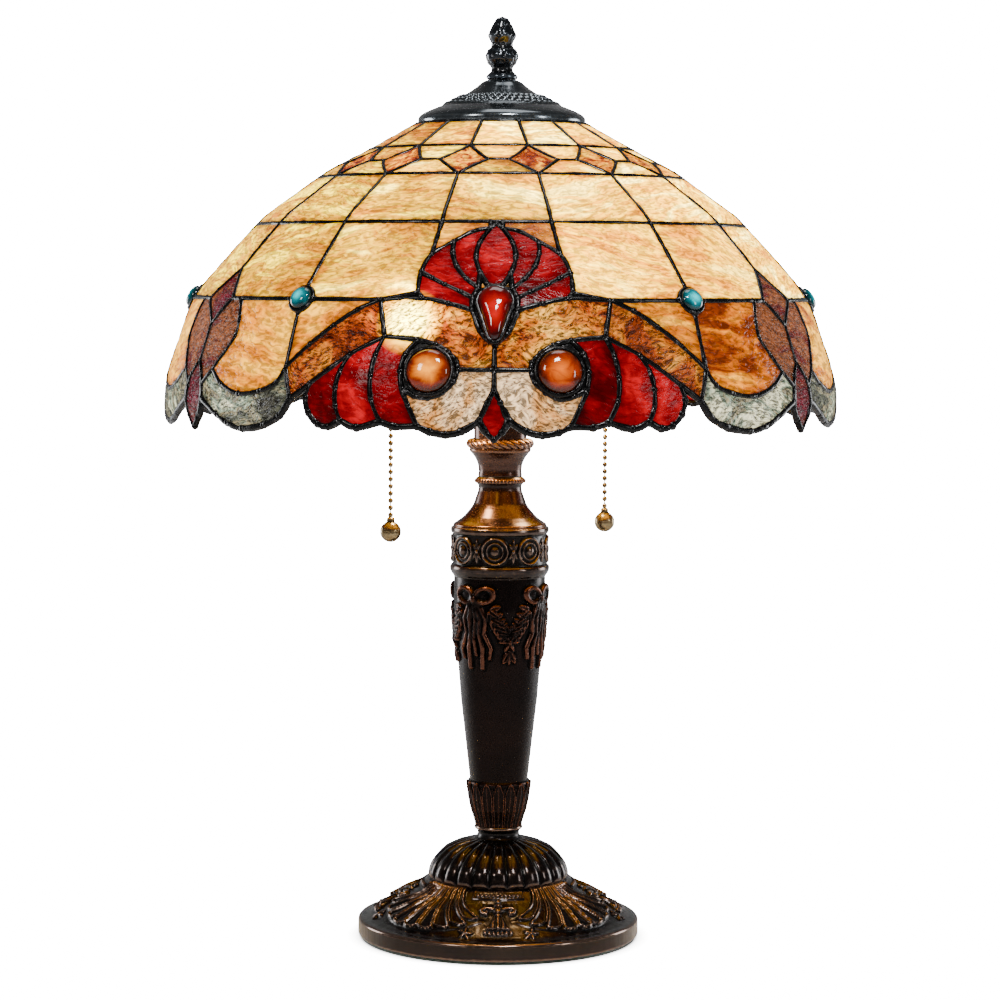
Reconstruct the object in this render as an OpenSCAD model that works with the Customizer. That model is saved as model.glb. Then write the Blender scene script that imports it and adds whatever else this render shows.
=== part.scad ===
// Table lamp with a leaded glass shade, two pendant bulbs and two pull chains.
// The origin is the centre of the felt's underside, +Z is up and the lamp's front faces -Y.

/* [Shade] */
// Widest radius of the glass
shade_r = 201; // [196:1:204]
// Thickness of the glass
glass_t = 2.6; // [2:0.2:3]
// Width of a soldered seam
seam_w = 4; // [3.4:0.2:4.4]
// Thickness of the solder, which stands proud of both faces of the glass
solder_t = 3.8; // [3.4:0.2:4.2]
// Diameter of the round amber jewels
eye_d = 25; // [23:1:26]
// Diameter of the blue jewels
gem_d = 14; // [12:1:15]
// How far the shade is turned about its rod
shade_turn = -1; // [-6:1:6]

/* [Cap and finial] */
// Outer radius of the cap's rolled rim
cap_r = 49.5; // [49:0.5:50]
// Wall of the cap
cap_t = 1.6; // [1.4:0.2:2]
// Radius of the stud that the finial screws down on
stud_r = 3.1; // [3:0.05:3.2]

/* [Lights] */
// Distance of each socket from the rod
socket_reach = 47; // [45:1:48]
// Distance of each pull chain from the rod
chain_reach = 76; // [75:1:80]
// How far the pair of sockets is turned from the lamp's left and right
cluster_turn = 32; // [25:1:40]
// Diameter of a bulb
bulb_d = 45; // [40:1:46]
// Diameter of the ball at the end of a chain
chain_ball_d = 12.5; // [10:0.5:14]
// Height of the chain ball's centre
chain_ball_z = 249; // [240:1:260]

/* [Column] */
// Radius of the column below its medallions
column_top_r = 27.6; // [26:0.2:29]
// Radius of the column's foot
column_foot_r = 17.6; // [17:0.2:19]
// Radius of the threaded rod that holds the lamp together
rod_r = 4.85; // [4.5:0.05:5]

/* [Base] */
// Radius of the base plate
base_r = 85; // [82:1:90]
// Thickness of the felt under the base
felt_t = 1.5; // [1:0.5:2]
// Radius of the hole that the cord enters by
inlet_r = 2.6; // [2.2:0.1:2.7]

/* [Hidden] */
$fn = 96;
gap = 0.3;
running_gap = 0.05;
seam_gap = 0.15;
bore_r = rod_r + 0.35;
columns = 15;
column_angle = 360 / columns;
half_column = column_angle / 2;
motifs = 3;

// Heights of the stand's joints, from the felt up
plate_top_z = 34;
dome_top_z = 60;
cup_z = 67;
column_z = 96;
band_z = 224;
neck_z = 249;
collar_z = 297;
sleeve_z = 301.5;
sleeve_top_z = 334;
inlet_z = 5.7;
bush_r = inlet_r + 0.75;
hub_z = 446;
seat_z = 509;
cap_top_z = 516.2;
finial_z = cap_top_z + gap;
rod_foot_z = 18;
nut_z = 22;
washer_z = 27;
rod_top_z = 529;
socket_top_z = 441;
socket_mouth_z = 386;
switch_z = 418;
bulb_z = 352;

// Outer face of the dome from the cap's edge to below the rim, as [radius, height]
dome_shape = [
    [50, 491], [84, 472], [102, 463], [120, 450], [141, 435], [160, 414.5], [172, 401],
    [184, 386], [190.6, 367], [195.5, 353], [199, 342], [201, 330], [200.5, 311]
];
dome_scale = shade_r / 201;
dome = [for (p = dome_shape) [p.x * dome_scale, p.y]];
function run(i) = i == 0 ? 0 : run(i - 1) + norm(dome[i] - dome[i - 1]);
dome_r = [for (i = [0:len(dome) - 1]) [run(i), dome[i].x]];
dome_z = [for (i = [0:len(dome) - 1]) [run(i), dome[i].y]];

// A point [angle, length] lies at that angle from the motif and that far down the dome from the cap
function on_dome(p) =
    let (r = lookup(p.y, dome_r))
    [r * sin(p.x), -r * cos(p.x), lookup(p.y, dome_z)];

// Rows of the pattern, as lengths down the dome from the cap
row_top = 1.5;
row_tips = 33;
row_middle = 52;
row_band = 68;
row_field = 114;
row_gems = 171;
diamond_half = 8.5;
// Half the room that a blue jewel takes in the seams, as an angle and as a length
gem_half = 2.8;
gem_room = 9;

// Curves that two pieces share, as [angle, length] points
lotus_edge = [[1.3, 119], [4.8, 121.5], [8.6, 129], [12.6, 139], [13.8, 152], [13.6, 166]];
petal_edge_0 = [[1.3, 119], [3.3, 130], [3.8, 141], [2.8, 152], [1.2, 161]];
petal_edge_1 = [[8.6, 129], [8.4, 138], [7.2, 148], [5.2, 156.5], [3, 163]];
petal_edge_2 = [[13.8, 152], [11.5, 156], [9, 160.5], [6, 165.5], [3.9, 169.5]];
jewel_side = [[3.9, 177], [2.4, 189], [0, 197.5]];
band_top = [[3.9, 177], [8, 173.2], [12.5, 170], [20, 171]];
band_fall = [[20, 171], [24, 177.5], [28, 186.5], [32, 197.5], [36, 211]];
eye_arch = [[18.3, 192.5], [12.5, 194.2], [9.5, 197], [7.3, 201.5], [6, 206.5], [5.7, 211]];
eye_side = [[12.5, 194.2], [14.4, 202], [15, 212], [14.5, 222], [13.4, 231], [12, 242]];
eye_under = [[5.7, 211], [6.3, 217.5], [8, 223.5], [10.3, 226.5], [12.5, 225.5], [14.5, 222]];
fan_edge_1 = [[18.3, 192.5], [19.5, 203], [19.9, 215], [19.5, 228], [18, 240]];
fan_edge_2 = [[24, 203], [25.3, 212], [25.8, 222], [25.6, 232], [24.8, 240]];
band_under = [[18.3, 192.5], [24, 203], [30.5, 219.5], [34.3, 228.5]];
tongue_side = [[52, 171], [50.6, 184], [50.4, 194], [52.2, 203.5], [54.5, 214]];
tongue_end = [[54.5, 214], [51, 222], [46, 227], [41, 225], [37.5, 220], [36, 211]];
drop_side = [[60, 209], [58, 217], [57, 225], [57, 233], [58.2, 241], [60, 247.5]];
scallop = [
    [57, 231], [52, 239.5], [49, 244], [45, 246.5], [40, 244], [36.5, 238.5], [34.3, 228.5]
];

function backward(curve) = [for (i = [len(curve) - 1:-1:0]) curve[i]];
function inner(curve) = [for (i = [1:len(curve) - 2]) curve[i]];
function part_of(curve, first, last) = [for (i = [first:last]) curve[i]];
function reflected(curve, axis = 0) = [for (p = backward(curve)) [2 * axis - p.x, p.y]];
function both_sides(curve, axis = 0) = concat(curve, inner(reflected(curve, axis)));

// Outlines of the panes
tip_half = half_column - diamond_half;
function trapezoid(half_1, length_1, half_2, length_2) =
    [[-half_1, length_1], [half_1, length_1], [half_2, length_2], [-half_2, length_2]];
row_pane_1 = trapezoid(half_column, row_top, half_column, row_tips);
row_pane_2 = trapezoid(half_column, row_tips, tip_half, row_middle);
row_pane_3 = trapezoid(tip_half, row_middle, half_column, row_band);
row_pane_4 = trapezoid(half_column, row_band, half_column, row_field);
diamond = [[0, row_tips], [diamond_half, row_middle], [0, row_band], [-diamond_half, row_middle]];
corner_pane = concat([[1.3, row_field], [12, row_field], [12.6, 139]], backward(part_of(lotus_edge, 0, 2)));
field_pane_1 = concat(
    [[12, row_field], [36, row_field], [36, row_gems - gem_room], [36 - gem_half, row_gems], [20, row_gems]],
    backward(part_of(lotus_edge, 3, 5))
);
field_pane_2 = [
    [36, row_field], [60, row_field], [60, 149], [55, row_gems], [36 + gem_half, row_gems],
    [36, row_gems - gem_room]
];
petal_0 = both_sides(concat([[0, 116]], petal_edge_0, [[0, 161.5]]));
petal_1 = concat(
    part_of(lotus_edge, 0, 2), part_of(petal_edge_1, 1, 4), backward(part_of(petal_edge_0, 1, 3))
);
petal_2 = concat(
    part_of(lotus_edge, 2, 4), part_of(petal_edge_2, 1, 4), backward(part_of(petal_edge_1, 1, 4))
);
petal_3 = concat(
    part_of(lotus_edge, 4, 5), backward(part_of(band_top, 0, 2)), backward(part_of(petal_edge_2, 1, 4))
);
band_pane_1 = concat(band_top, eye_arch, [[0, 211]], backward(part_of(jewel_side, 1, 2)));
band_pane_2 = concat(band_fall, backward(band_under));
corner_pane_2 = concat(
    [[36 - gem_half, row_gems], [36, row_gems + gem_room]], backward(band_fall)
);
cheek_pane = concat(
    [[0, 211]], eye_under, part_of(eye_side, 4, 5),
    [[10, 245], [7.5, 246.5], [5, 244.5], [2.2, 238], [1, 229], [0, 222]]
);
kite = both_sides([[0, 222], [1, 229], [2.2, 238], [1.2, 245], [0, 249]]);
fan_1 = concat([[12.5, 194.2]], fan_edge_1, [[15.5, 242.5]], backward(part_of(eye_side, 1, 5)));
fan_2 = concat(
    part_of(band_under, 0, 1), part_of(fan_edge_2, 1, 4), [[22, 243.5]], backward(part_of(fan_edge_1, 1, 4))
);
fan_3 = concat(
    part_of(band_under, 1, 2), [[31.2, 228], [30.6, 236], [29, 242], [27, 243.5]],
    backward(part_of(fan_edge_2, 1, 4))
);
tongue = concat(
    [[36, row_gems + gem_room], [36 + gem_half, row_gems]], tongue_side, part_of(tongue_end, 1, 5)
);
scallop_pane = concat(backward(tongue_end), [[57.4, 223]], scallop);
side_petal = concat(
    [[52, row_gems], [55, row_gems], [60, 186.5], [60, 209], [58, 217], [57.4, 223]],
    backward(part_of(tongue_side, 1, 4))
);
side_diamond = [[60, 149], [65, row_gems], [60, 186.5], [55, row_gems]];
side_drop = both_sides(drop_side, 60);

glass_cream = [0.93, 0.74, 0.44];
glass_brown = [0.6, 0.38, 0.17];
glass_red = [0.72, 0.03, 0.05];
glass_maroon = [0.4, 0.08, 0.16];
glass_orange = [0.9, 0.45, 0.12];
glass_green = [0.5, 0.56, 0.48];
amber = [1, 0.62, 0.05];
solder = [0.09, 0.08, 0.08];
bronze = [0.16, 0.09, 0.06];
dark_bronze = [0.08, 0.08, 0.08];
copper_bronze = [0.32, 0.17, 0.1];
brass = [0.6, 0.47, 0.25];
steel = [0.6, 0.6, 0.6];
liner = [0.25, 0.18, 0.12];
felt = [0.05, 0.1, 0.07];

// ---- Shapes that several pieces use ----

function unit(v) = v / norm(v);
function total(list, i = 0) = i == len(list) - 1 ? list[i] : list[i] + total(list, i + 1);
function mean(points) = total(points) / len(points);
function next(list, i) = list[(i + 1) % len(list)];
function facing(points, c) =
    total([for (i = [0:len(points) - 1]) cross(points[i] - c, next(points, i) - c)]);

// The outline on the dome, its points in the order that faces outward
function outward(outline) =
    let (points = [for (p = outline) on_dome(p)], c = mean(points), n = facing(points, c))
    n * [c.x, c.y, 0] > 0 ? points : backward(points);

// The flat outline moved inward by d on every side
function inset(points, d) =
    let (n = len(points))
    [
        for (i = [0:n - 1])
            let (
                u = unit(points[i] - points[(i + n - 1) % n]),
                v = unit(next(points, i) - points[i]),
                side = [-u.y - v.y, u.x + v.x]
            )
            points[i] + d * side * 2 / (side * side)
    ];

// Places a piece at c with its Z along n and its X level
module stand_at(c, n) {
    across = unit(cross([0, 0, 1], n));
    up = cross(n, across);
    multmatrix([
        [across.x, up.x, n.x, c.x],
        [across.y, up.y, n.y, c.y],
        [across.z, up.z, n.z, c.z],
        [0, 0, 0, 1]
    ])
        children();
}

// A flat piece through the outline's points, moved in by margin, with a window moved in by window_margin
module flat_piece(outline, margin, window_margin, low, high) {
    points = outward(outline);
    c = mean(points);
    n = unit(facing(points, c));
    across = unit(cross([0, 0, 1], n));
    up = cross(n, across);
    flat = [for (p = points) [(p - c) * across, (p - c) * up]];
    stand_at(c, n) translate([0, 0, low]) linear_extrude(high - low) difference() {
        polygon(inset(flat, margin));
        if (window_margin > 0) polygon(inset(flat, window_margin));
    }
}

glass_low = -(solder_t + glass_t) / 2;

module pane(outline) flat_piece(outline, seam_w / 2, 0, glass_low, glass_low + glass_t);

module seam(outline) flat_piece(outline, seam_gap, seam_w / 2, -solder_t, 0);

// Places a piece on the dome, its Z along the face's normal
module stand_on_dome(p) {
    up = unit(on_dome([p.x, p.y - 1]) - on_dome([p.x, p.y + 1]));
    stand_at(on_dome(p), cross([cos(p.x), sin(p.x), 0], up)) children();
}

module every_column(shift = 0) {
    for (k = [0:columns - 1]) rotate(shade_turn + shift + k * column_angle) children();
}

module every_motif(shift = 0) {
    for (k = [0:motifs - 1]) rotate(shade_turn + shift + k * 360 / motifs) children();
}

module every_half() every_motif() for (side = [0, 1]) mirror([side, 0, 0]) children();

module turned(profile) rotate_extrude() polygon(profile);

// The triangles between rings of n points each
function wall(last, n) = [
    for (j = [0:last - 1]) for (i = [0:n - 1]) for (upper = [0, 1])
        let (next_i = (i + 1) % n)
        upper == 0
            ? [j * n + i, (j + 1) * n + i, j * n + next_i]
            : [j * n + next_i, (j + 1) * n + i, (j + 1) * n + next_i]
];

// A solid with lobes round it, from rings of [radius, height]
module lobed(rings, lobes, depth, twist = 0) {
    steps = lobes * 6;
    points = [
        for (j = [0:len(rings) - 1]) for (i = [0:steps - 1])
            let (
                a = 360 * i / steps + twist * j,
                r = rings[j].x * (1 - depth * pow(1 - abs(sin(180 * i * lobes / steps)), 2))
            )
            [r * cos(a), r * sin(a), rings[j].y]
    ];
    last = len(rings) - 1;
    ends = [[0, 0, rings[0].y], [0, 0, rings[last].y]];
    n = len(points);
    polyhedron(concat(points, ends), concat(
        wall(last, steps),
        [for (i = [0:steps - 1]) [i, (i + 1) % steps, n]],
        [for (i = [0:steps - 1]) [last * steps + (i + 1) % steps, last * steps + i, n + 1]]
    ), convexity = 6);
}

// A round bar through points, thinner towards its ends when taper is below 1
module bar(points, r, taper = 1, sides = 6) {
    last = len(points) - 1;
    rings = [
        for (i = [0:last])
            let (
                d = unit(points[min(i + 1, last)] - points[max(i - 1, 0)]),
                s = unit(cross(d, abs(d.z) > 0.9 ? [1, 0, 0] : [0, 0, 1])),
                t = cross(d, s),
                w = r * (i == 0 || i == last ? taper : 1)
            )
            for (k = [0:sides - 1]) points[i] + w * (cos(360 * k / sides) * s + sin(360 * k / sides) * t)
    ];
    polyhedron(rings, concat(
        [[for (k = [0:sides - 1]) k]],
        wall(last, sides),
        [[for (k = [sides - 1:-1:0]) last * sides + k]]
    ), convexity = 4);
}

function polar(r, a, z) = [r * cos(a), r * sin(a), z];

// ---- The stand ----

module felt_pad() color(felt) cylinder(r = base_r - 1.5, h = felt_t);

// The plate's upper face, as [distance in from the rim, height]
plate_height = [
    [0, 10.8], [0.8, 11.8], [5, 12.6], [9, 14], [15, 18], [25, 24.2], [35, 28.8], [42, plate_top_z]
];

module base_plate() color(bronze) difference() {
    turned(concat(
        [[base_r, felt_t]],
        [for (p = plate_height) [base_r - p.x, p.y]],
        [[bore_r, plate_top_z], [bore_r, 29], [base_r - 45, 29], [base_r - 33, 23], [base_r - 19, 15.4]],
        [[base_r - 10, 10.4], [base_r - 6, 9.8], [base_r - 6, felt_t]]
    ));
    translate([0, base_r - 12, inlet_z]) rotate([-90, 0, 0]) cylinder(r = bush_r + running_gap, h = 20);
}

// Height of the plate's upper face
function plate_z(r) = lookup(base_r - r, plate_height);

// Four fans of fluted leaves spread over the plate's slope
module base_leaves() color(bronze) for (a = [45:90:315]) for (i = [-4:4]) {
    reach = 31 - 1.1 * i * i;
    path = [
        for (t = [0:0.25:1])
            let (r = 45 + t * reach) polar(r, a + i * (3.5 + 4.2 * t), plate_z(r) + 0.6)
    ];
    bar(path, 2.6, 0.5);
}

// A bell-shaped drop between two scrolls, on the plate's slope between the fans
module base_palmettes() color(bronze) for (a = [0:90:270]) {
    bar([for (r = [50:5:70]) polar(r, a, plate_z(r) + 0.5)], 2.4, 0.6);
    for (side = [-1, 1]) {
        scroll = [
            for (t = [0:0.25:1])
                let (r = 56 + 10 * t) polar(r, a + side * (4 + 6 * t * t), plate_z(r) + 0.4)
        ];
        bar(scroll, 1.8, 0.6);
    }
}

// The bush that lines the cord's hole at the back
module cord_inlet() color(dark_bronze) translate([0, base_r - 6.2, inlet_z]) rotate([-90, 0, 0])
difference() {
    union() {
        cylinder(r = bush_r, h = 5.5);
        translate([0, 0, -1.6]) cylinder(r = bush_r + 0.65, h = 1.6);
    }
    translate([0, 0, -2]) cylinder(r = inlet_r, h = 10);
}

module base_dome() color(bronze) difference() {
    lobed([
        [42, plate_top_z], [42.4, 37], [41.6, 41], [40.3, 44.5], [38.2, 47.5], [35.5, 50.5], [32, 53.6],
        [26, 56.6], [18, 59], [12, dome_top_z]
    ], 24, 0.05);
    translate([0, 0, plate_top_z - 1]) cylinder(r = bore_r, h = 30);
}

module dome_ring() color(bronze) turned([
    [bore_r, dome_top_z], [13.8, dome_top_z], [12.6, 62.5], [12.9, 65], [14.4, 66], [14.4, cup_z],
    [bore_r, cup_z]
]);

module leaf_cup() color(bronze) difference() {
    lobed([
        [13.6, cup_z], [14, 70], [15, 73], [16.7, 78], [18.2, 85], [19, 91], [19.4, 94], [17.4, column_z]
    ], 12, 0.1);
    translate([0, 0, cup_z - 1]) cylinder(r = bore_r, h = 40);
}

column_flank = [
    [column_foot_r, column_z], [20.4, 121], [23.2, 145], [25.5, 174], [column_top_r, 200],
    [column_top_r, 219], [29.8, band_z]
];

module column() color(bronze) turned(concat(
    column_flank,
    [[bore_r, band_z], [bore_r, 218], [column_top_r - 5, 214], [21.5, 174], [13.5, 104], [bore_r, 100]],
    [[bore_r, column_z]]
));

function column_r(z) = lookup(z, [for (p = column_flank) [p.y, p.x]]);
function on_column(a, z) = polar(column_r(z) + 0.5, a, z);

// Swags with a rosette between ribbon bows with hanging tails, four times round the column
module column_festoons() color(bronze) for (a = [-80:90:190]) {
    bar([for (t = [-1:0.2:1]) on_column(a + 32 * t, 206 - 20 * (1 - t * t))], 2.6, 0.7);
    rotate(a) translate([column_r(186) - 1, 0, 186]) rotate([0, 90, 0]) cylinder(r = 5, h = 3);
    for (side = [-1, 1]) {
        bow = [for (t = [0:0.2:1]) on_column(a + 45 + side * 11 * sin(150 * t), 208 + 8 * sin(180 * t))];
        tail = [for (t = [0:0.2:1]) on_column(a + 45 + side * (3 + 9 * t), 205 - 26 * t)];
        bar(bow, 1.6);
        bar(tail, 2, 0.5);
    }
}

module medallion_band() color(bronze) turned([
    [24, band_z], [29.8, band_z], [29.8, 226], [28.6, 227], [28.6, 245], [29.4, 246], [29.4, neck_z],
    [bore_r, neck_z], [bore_r, 245], [24, 243]
]);

module medallions() color(bronze) for (a = [-6:45:309])
rotate(a) translate([27.6, 0, 236]) rotate([0, 90, 0]) {
    difference() {
        cylinder(r = 8.2, h = 2.6);
        translate([0, 0, 1.6]) cylinder(r = 6.4, h = 2);
    }
    translate([0, 0, 1]) cylinder(r = 4.2, h = 1.8);
}

module neck() color(copper_bronze) turned([
    [bore_r, neck_z], [28.4, neck_z], [27.4, 250.8], [24.4, 253.2], [19.5, 258], [15.9, 262.8], [14.1, 267.6],
    [12.9, 271.5], [13, 273.5], [15, 275.5], [15, 278], [13.5, 280], [12.9, 283], [13.5, 287], [15.9, 291.7],
    [18, 294.5], [18, collar_z], [bore_r, collar_z]
]);

module rope_collar() color(copper_bronze) difference() {
    lobed([for (t = [0:30:180]) [18.4 + 2 * sin(t), collar_z + 2.25 * (1 - cos(t))]], 20, 0.06, 5);
    translate([0, 0, collar_z - 1]) cylinder(r = bore_r, h = 20);
}

module sleeve() color(copper_bronze) turned([
    [bore_r, sleeve_z], [15.8, sleeve_z], [15.8, sleeve_top_z - 12], [12, sleeve_top_z - 3],
    [7, sleeve_top_z], [bore_r, sleeve_top_z]
]);

module threaded_rod() color(brass) {
    translate([0, 0, rod_foot_z]) cylinder(r = rod_r, h = seat_z - rod_foot_z);
    translate([0, 0, seat_z - 1]) cylinder(r = stud_r, h = rod_top_z - seat_z + 1);
}

module rod_washer() color(steel) translate([0, 0, washer_z]) difference() {
    cylinder(r = 14, h = 2);
    translate([0, 0, -1]) cylinder(r = bore_r, h = 4);
}

module rod_nut() color(steel) translate([0, 0, nut_z]) difference() {
    cylinder(r = 9, h = 5, $fn = 6);
    translate([0, 0, -1]) cylinder(r = rod_r, h = 7);
}

// ---- The pair of pendant sockets ----

socket_r = 17.5;
shell_h = socket_top_z - 12 - socket_mouth_z;

module each_light() for (side = [0, 180]) rotate(180 + cluster_turn + side) children();

module cluster_hub() color(brass) turned([
    [rod_r, hub_z - 7], [10, hub_z - 7], [12, hub_z - 4], [12, hub_z + 8], [10, hub_z + 11],
    [rod_r, hub_z + 11]
]);

// A tube out from the hub that turns down into its socket's cap
module cluster_arms() color(brass) each_light() {
    translate([12, 0, hub_z + 3]) rotate([0, 90, 0]) cylinder(r = 4.5, h = socket_reach - 18);
    translate([socket_reach - 6, 0, hub_z - 3]) rotate([90, 0, 0])
        rotate_extrude(angle = 90) translate([6, 0]) circle(r = 4.5);
}

// The domed upper end of each socket
module socket_caps() color(brass) each_light() translate([socket_reach, 0, socket_top_z]) turned([
    [16.5, -12], [socket_r, -12], [socket_r, -6], [14, -2], [6, 2], [0, 2], [0, 0.8], [5.7, 0.8], [13.2, -3],
    [16.5, -6.4]
]);

module socket_shells() color(brass) each_light() translate([socket_reach, 0, socket_mouth_z])
difference() {
    cylinder(r = socket_r, h = shell_h);
    translate([0, 0, -1]) cylinder(r = socket_r - 1, h = shell_h + 2);
}

// The insulating body inside each shell, hollow where the bulb's cap goes
module socket_liners() color(liner) each_light() translate([socket_reach, 0, socket_mouth_z])
difference() {
    translate([0, 0, 1]) cylinder(r = socket_r - 1.2, h = shell_h - 1.2);
    cylinder(r = 14.6, h = 31);
}

module socket_threads() color(brass) each_light() translate([socket_reach, 0, socket_mouth_z + 2])
difference() {
    cylinder(r = 14.5, h = 24);
    translate([0, 0, -1]) cylinder(r = 13.6, h = 30);
}

// The spout on each socket that the chain comes out of
module chain_guides() color(brass) each_light() difference() {
    union() {
        translate([socket_reach + socket_r, 0, switch_z]) rotate([0, 90, 0])
            cylinder(r = 3.2, h = chain_reach - socket_reach - socket_r);
        translate([chain_reach, 0, switch_z - 5]) cylinder(r = 4, h = 9.5);
    }
    translate([chain_reach, 0, switch_z - 6]) cylinder(r = 2.4, h = 7);
}

module bulb_contact() color(steel) translate([socket_reach, 0, socket_mouth_z + 27.4])
    cylinder(r = 5, h = 1.6);

// The screw cap, a cup that the glass stands in
module bulb_cap() color(steel) translate([socket_reach, 0, socket_mouth_z]) turned([
    [12.7, -1], [13.3, -1], [13.3, 21], [8, 26], [0, 27.1], [0, 25.1], [7.4, 24.2], [12.3, 19.8], [12.7, 3]
]);

bulb_r = bulb_d / 2;
bulb_wall = 0.8;

function bulb_curve(r) = [for (t = [-90:6:48]) [r * cos(t), bulb_z + r * sin(t)]];

module bulb_glass() color([1, 0.95, 0.8]) translate([socket_reach, 0, 0]) turned(concat(
    bulb_curve(bulb_r),
    [[12.6, bulb_z + 22], [12.6, socket_mouth_z + 2], [12.6 - bulb_wall, socket_mouth_z + 2]],
    [[12.6 - bulb_wall, bulb_z + 21.6]],
    backward(bulb_curve(bulb_r - bulb_wall))
));

module left_bulb_contact() rotate(180 + cluster_turn) bulb_contact();

module left_bulb_cap() rotate(180 + cluster_turn) bulb_cap();

module left_bulb_glass() rotate(180 + cluster_turn) bulb_glass();

module right_bulb_contact() rotate(cluster_turn) bulb_contact();

module right_bulb_cap() rotate(cluster_turn) bulb_cap();

module right_bulb_glass() rotate(cluster_turn) bulb_glass();

// ---- The pull chains ----

chain_bead_r = 1.6;
chain_wire_r = 0.5;
chain_pitch = 4.2;
chain_eye_z = switch_z - 7;
chain_top_z = chain_eye_z - chain_bead_r - gap;

// The part of the chain that the switch holds, which moves only up and down
module chain_link() color(brass) translate([chain_reach, 0, 0]) {
    translate([0, 0, chain_eye_z]) cylinder(r = 0.9, h = 7.5);
    translate([0, 0, chain_eye_z]) sphere(r = chain_bead_r, $fn = 24);
}

module chain() color(brass) translate([chain_reach, 0, 0]) {
    beads = floor((chain_eye_z - chain_ball_z - chain_ball_d / 2) / chain_pitch);
    translate([0, 0, chain_ball_z]) sphere(d = chain_ball_d);
    translate([0, 0, chain_ball_z + chain_ball_d / 2 - 1]) cylinder(r = 2.2, h = 4);
    turned(concat(
        [[0, chain_ball_z + 2]],
        [
            for (i = [1:beads - 1]) let (z = chain_eye_z - (beads - i) * chain_pitch)
                for (p = [[chain_wire_r, -1.9], [1.3, -1], [1.3, 1], [chain_wire_r, 1.9]]) [p.x, z + p.y]
        ],
        [[chain_wire_r, chain_top_z], [0, chain_top_z]]
    ));
}

module left_chain_link() rotate(180 + cluster_turn) chain_link();

module left_chain() rotate(180 + cluster_turn) chain();

module right_chain_link() rotate(cluster_turn) chain_link();

module right_chain() rotate(cluster_turn) chain();

// ---- The shade ----

module seat_nut() color(brass) translate([0, 0, seat_z - 6]) difference() {
    cylinder(r = 8, h = 4.5, $fn = 6);
    translate([0, 0, -1]) cylinder(r = rod_r, h = 8);
}

module seat_washer() color(brass) translate([0, 0, seat_z - 1.5]) difference() {
    cylinder(r = 11, h = 1.5);
    translate([0, 0, -1]) cylinder(r = rod_r, h = 4);
}

// The cap's outer face, as [radius, height]
cap_face = [
    [cap_r, 490.6], [cap_r + 0.5, 491.8], [48.4, 493.6], [46.9, 495], [43.6, 497.4], [38.2, 499.8],
    [31.9, 502.2], [27.7, 504.6], [22.3, 507.2], [18.6, 509.6], [14.7, 512.4], [12, 515], [9, cap_top_z]
];

module shade_cap() color(dark_bronze) turned(concat(
    cap_face,
    [[stud_r + running_gap, cap_top_z], [stud_r + running_gap, seat_z + gap], [12, seat_z + gap]],
    [for (i = [9:-1:1]) [cap_face[i].x - cap_t * 0.7, cap_face[i].y - cap_t]],
    [[cap_r - cap_t, 490.6]]
));

function cap_height(r) = lookup(-r, [for (p = cap_face) [-p.x, p.y]]);

// A band of crossed leaves round the cap
module cap_filigree() color(dark_bronze) for (a = [0:18:342]) for (side = [-1, 1]) {
    leaf = [
        for (t = [0:0.25:1])
            let (r = 24 + 11 * t) polar(r, a + side * 13 * (t - 0.5), cap_height(r) + 0.2)
    ];
    bar(leaf, 1, 0.6);
}

// The ring inside the cap that the crown's panes are soldered to
module cap_ring() color(brass) turned([
    [46.6, 492], [46.6, 484.5], [58, 478.5], [58, 479.7], [47.6, 485.2], [47.6, 492]
]);

module glass_crown() color(glass_cream) every_column() {
    for (outline = [row_pane_1, row_pane_2, row_pane_3]) pane(outline);
}

module glass_diamonds() color(amber) every_column(half_column) pane(diamond);

module glass_band() color(glass_cream) every_column() pane(row_pane_4);

module glass_field() color(glass_cream) every_half() {
    for (outline = [field_pane_1, field_pane_2]) pane(outline);
}

module glass_corners() color(glass_orange) every_half() {
    for (outline = [corner_pane, corner_pane_2]) pane(outline);
}

module glass_lotus() color(glass_red) {
    every_motif() pane(petal_0);
    every_half() for (outline = [petal_1, petal_2, petal_3]) pane(outline);
}

module glass_ripple() color(glass_brown) every_half() {
    for (outline = [band_pane_1, band_pane_2]) pane(outline);
}

module glass_cheeks() color(glass_cream) every_half() pane(cheek_pane);

module glass_fans() color(glass_red) {
    every_motif() pane(kite);
    every_half() for (outline = [fan_1, fan_2, fan_3]) pane(outline);
}

module glass_tongues() color(glass_orange) every_half() pane(tongue);

module glass_scallops() color(glass_green) every_half() pane(scallop_pane);

module glass_side_motifs() color(glass_maroon) {
    every_motif() for (outline = [side_diamond, side_drop]) pane(outline);
    every_half() pane(side_petal);
}

drop_at = [0, 173];
drop_r = 10.5;
drop_length = 21;
eye_at = [10.3, 212];
gem_at = [36, row_gems];

// A domed jewel of radius r on a flat back
module cabochon(r, height) {
    ball_r = (r * r + height * height) / (2 * height);
    translate([0, 0, -2]) cylinder(r = r, h = 2);
    intersection() {
        translate([0, 0, height - ball_r]) sphere(r = ball_r);
        translate([0, 0, -0.01]) cylinder(r = r, h = height + 1);
    }
}

module jewel_drops() color(glass_red) every_motif() stand_on_dome(drop_at) hull() {
    translate([0, 0, -2]) cylinder(r = drop_r, h = 3, $fn = 32);
    cylinder(r = drop_r - 5, h = 5, $fn = 32);
    translate([0, -drop_length, -2]) cylinder(r = 1, h = 3, $fn = 32);
}

module jewel_eyes() color(amber) every_half() stand_on_dome(eye_at) cabochon(eye_d / 2, 6);

module jewel_gems() color([0.02, 0.55, 0.6]) every_half() stand_on_dome(gem_at) cabochon(gem_d / 2, 3.6);

module bezel(r) difference() {
    translate([0, 0, -2.6]) cylinder(r = r + 1.6, h = 3.2);
    translate([0, 0, -3]) cylinder(r = r + 0.02, h = 5);
}

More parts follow.
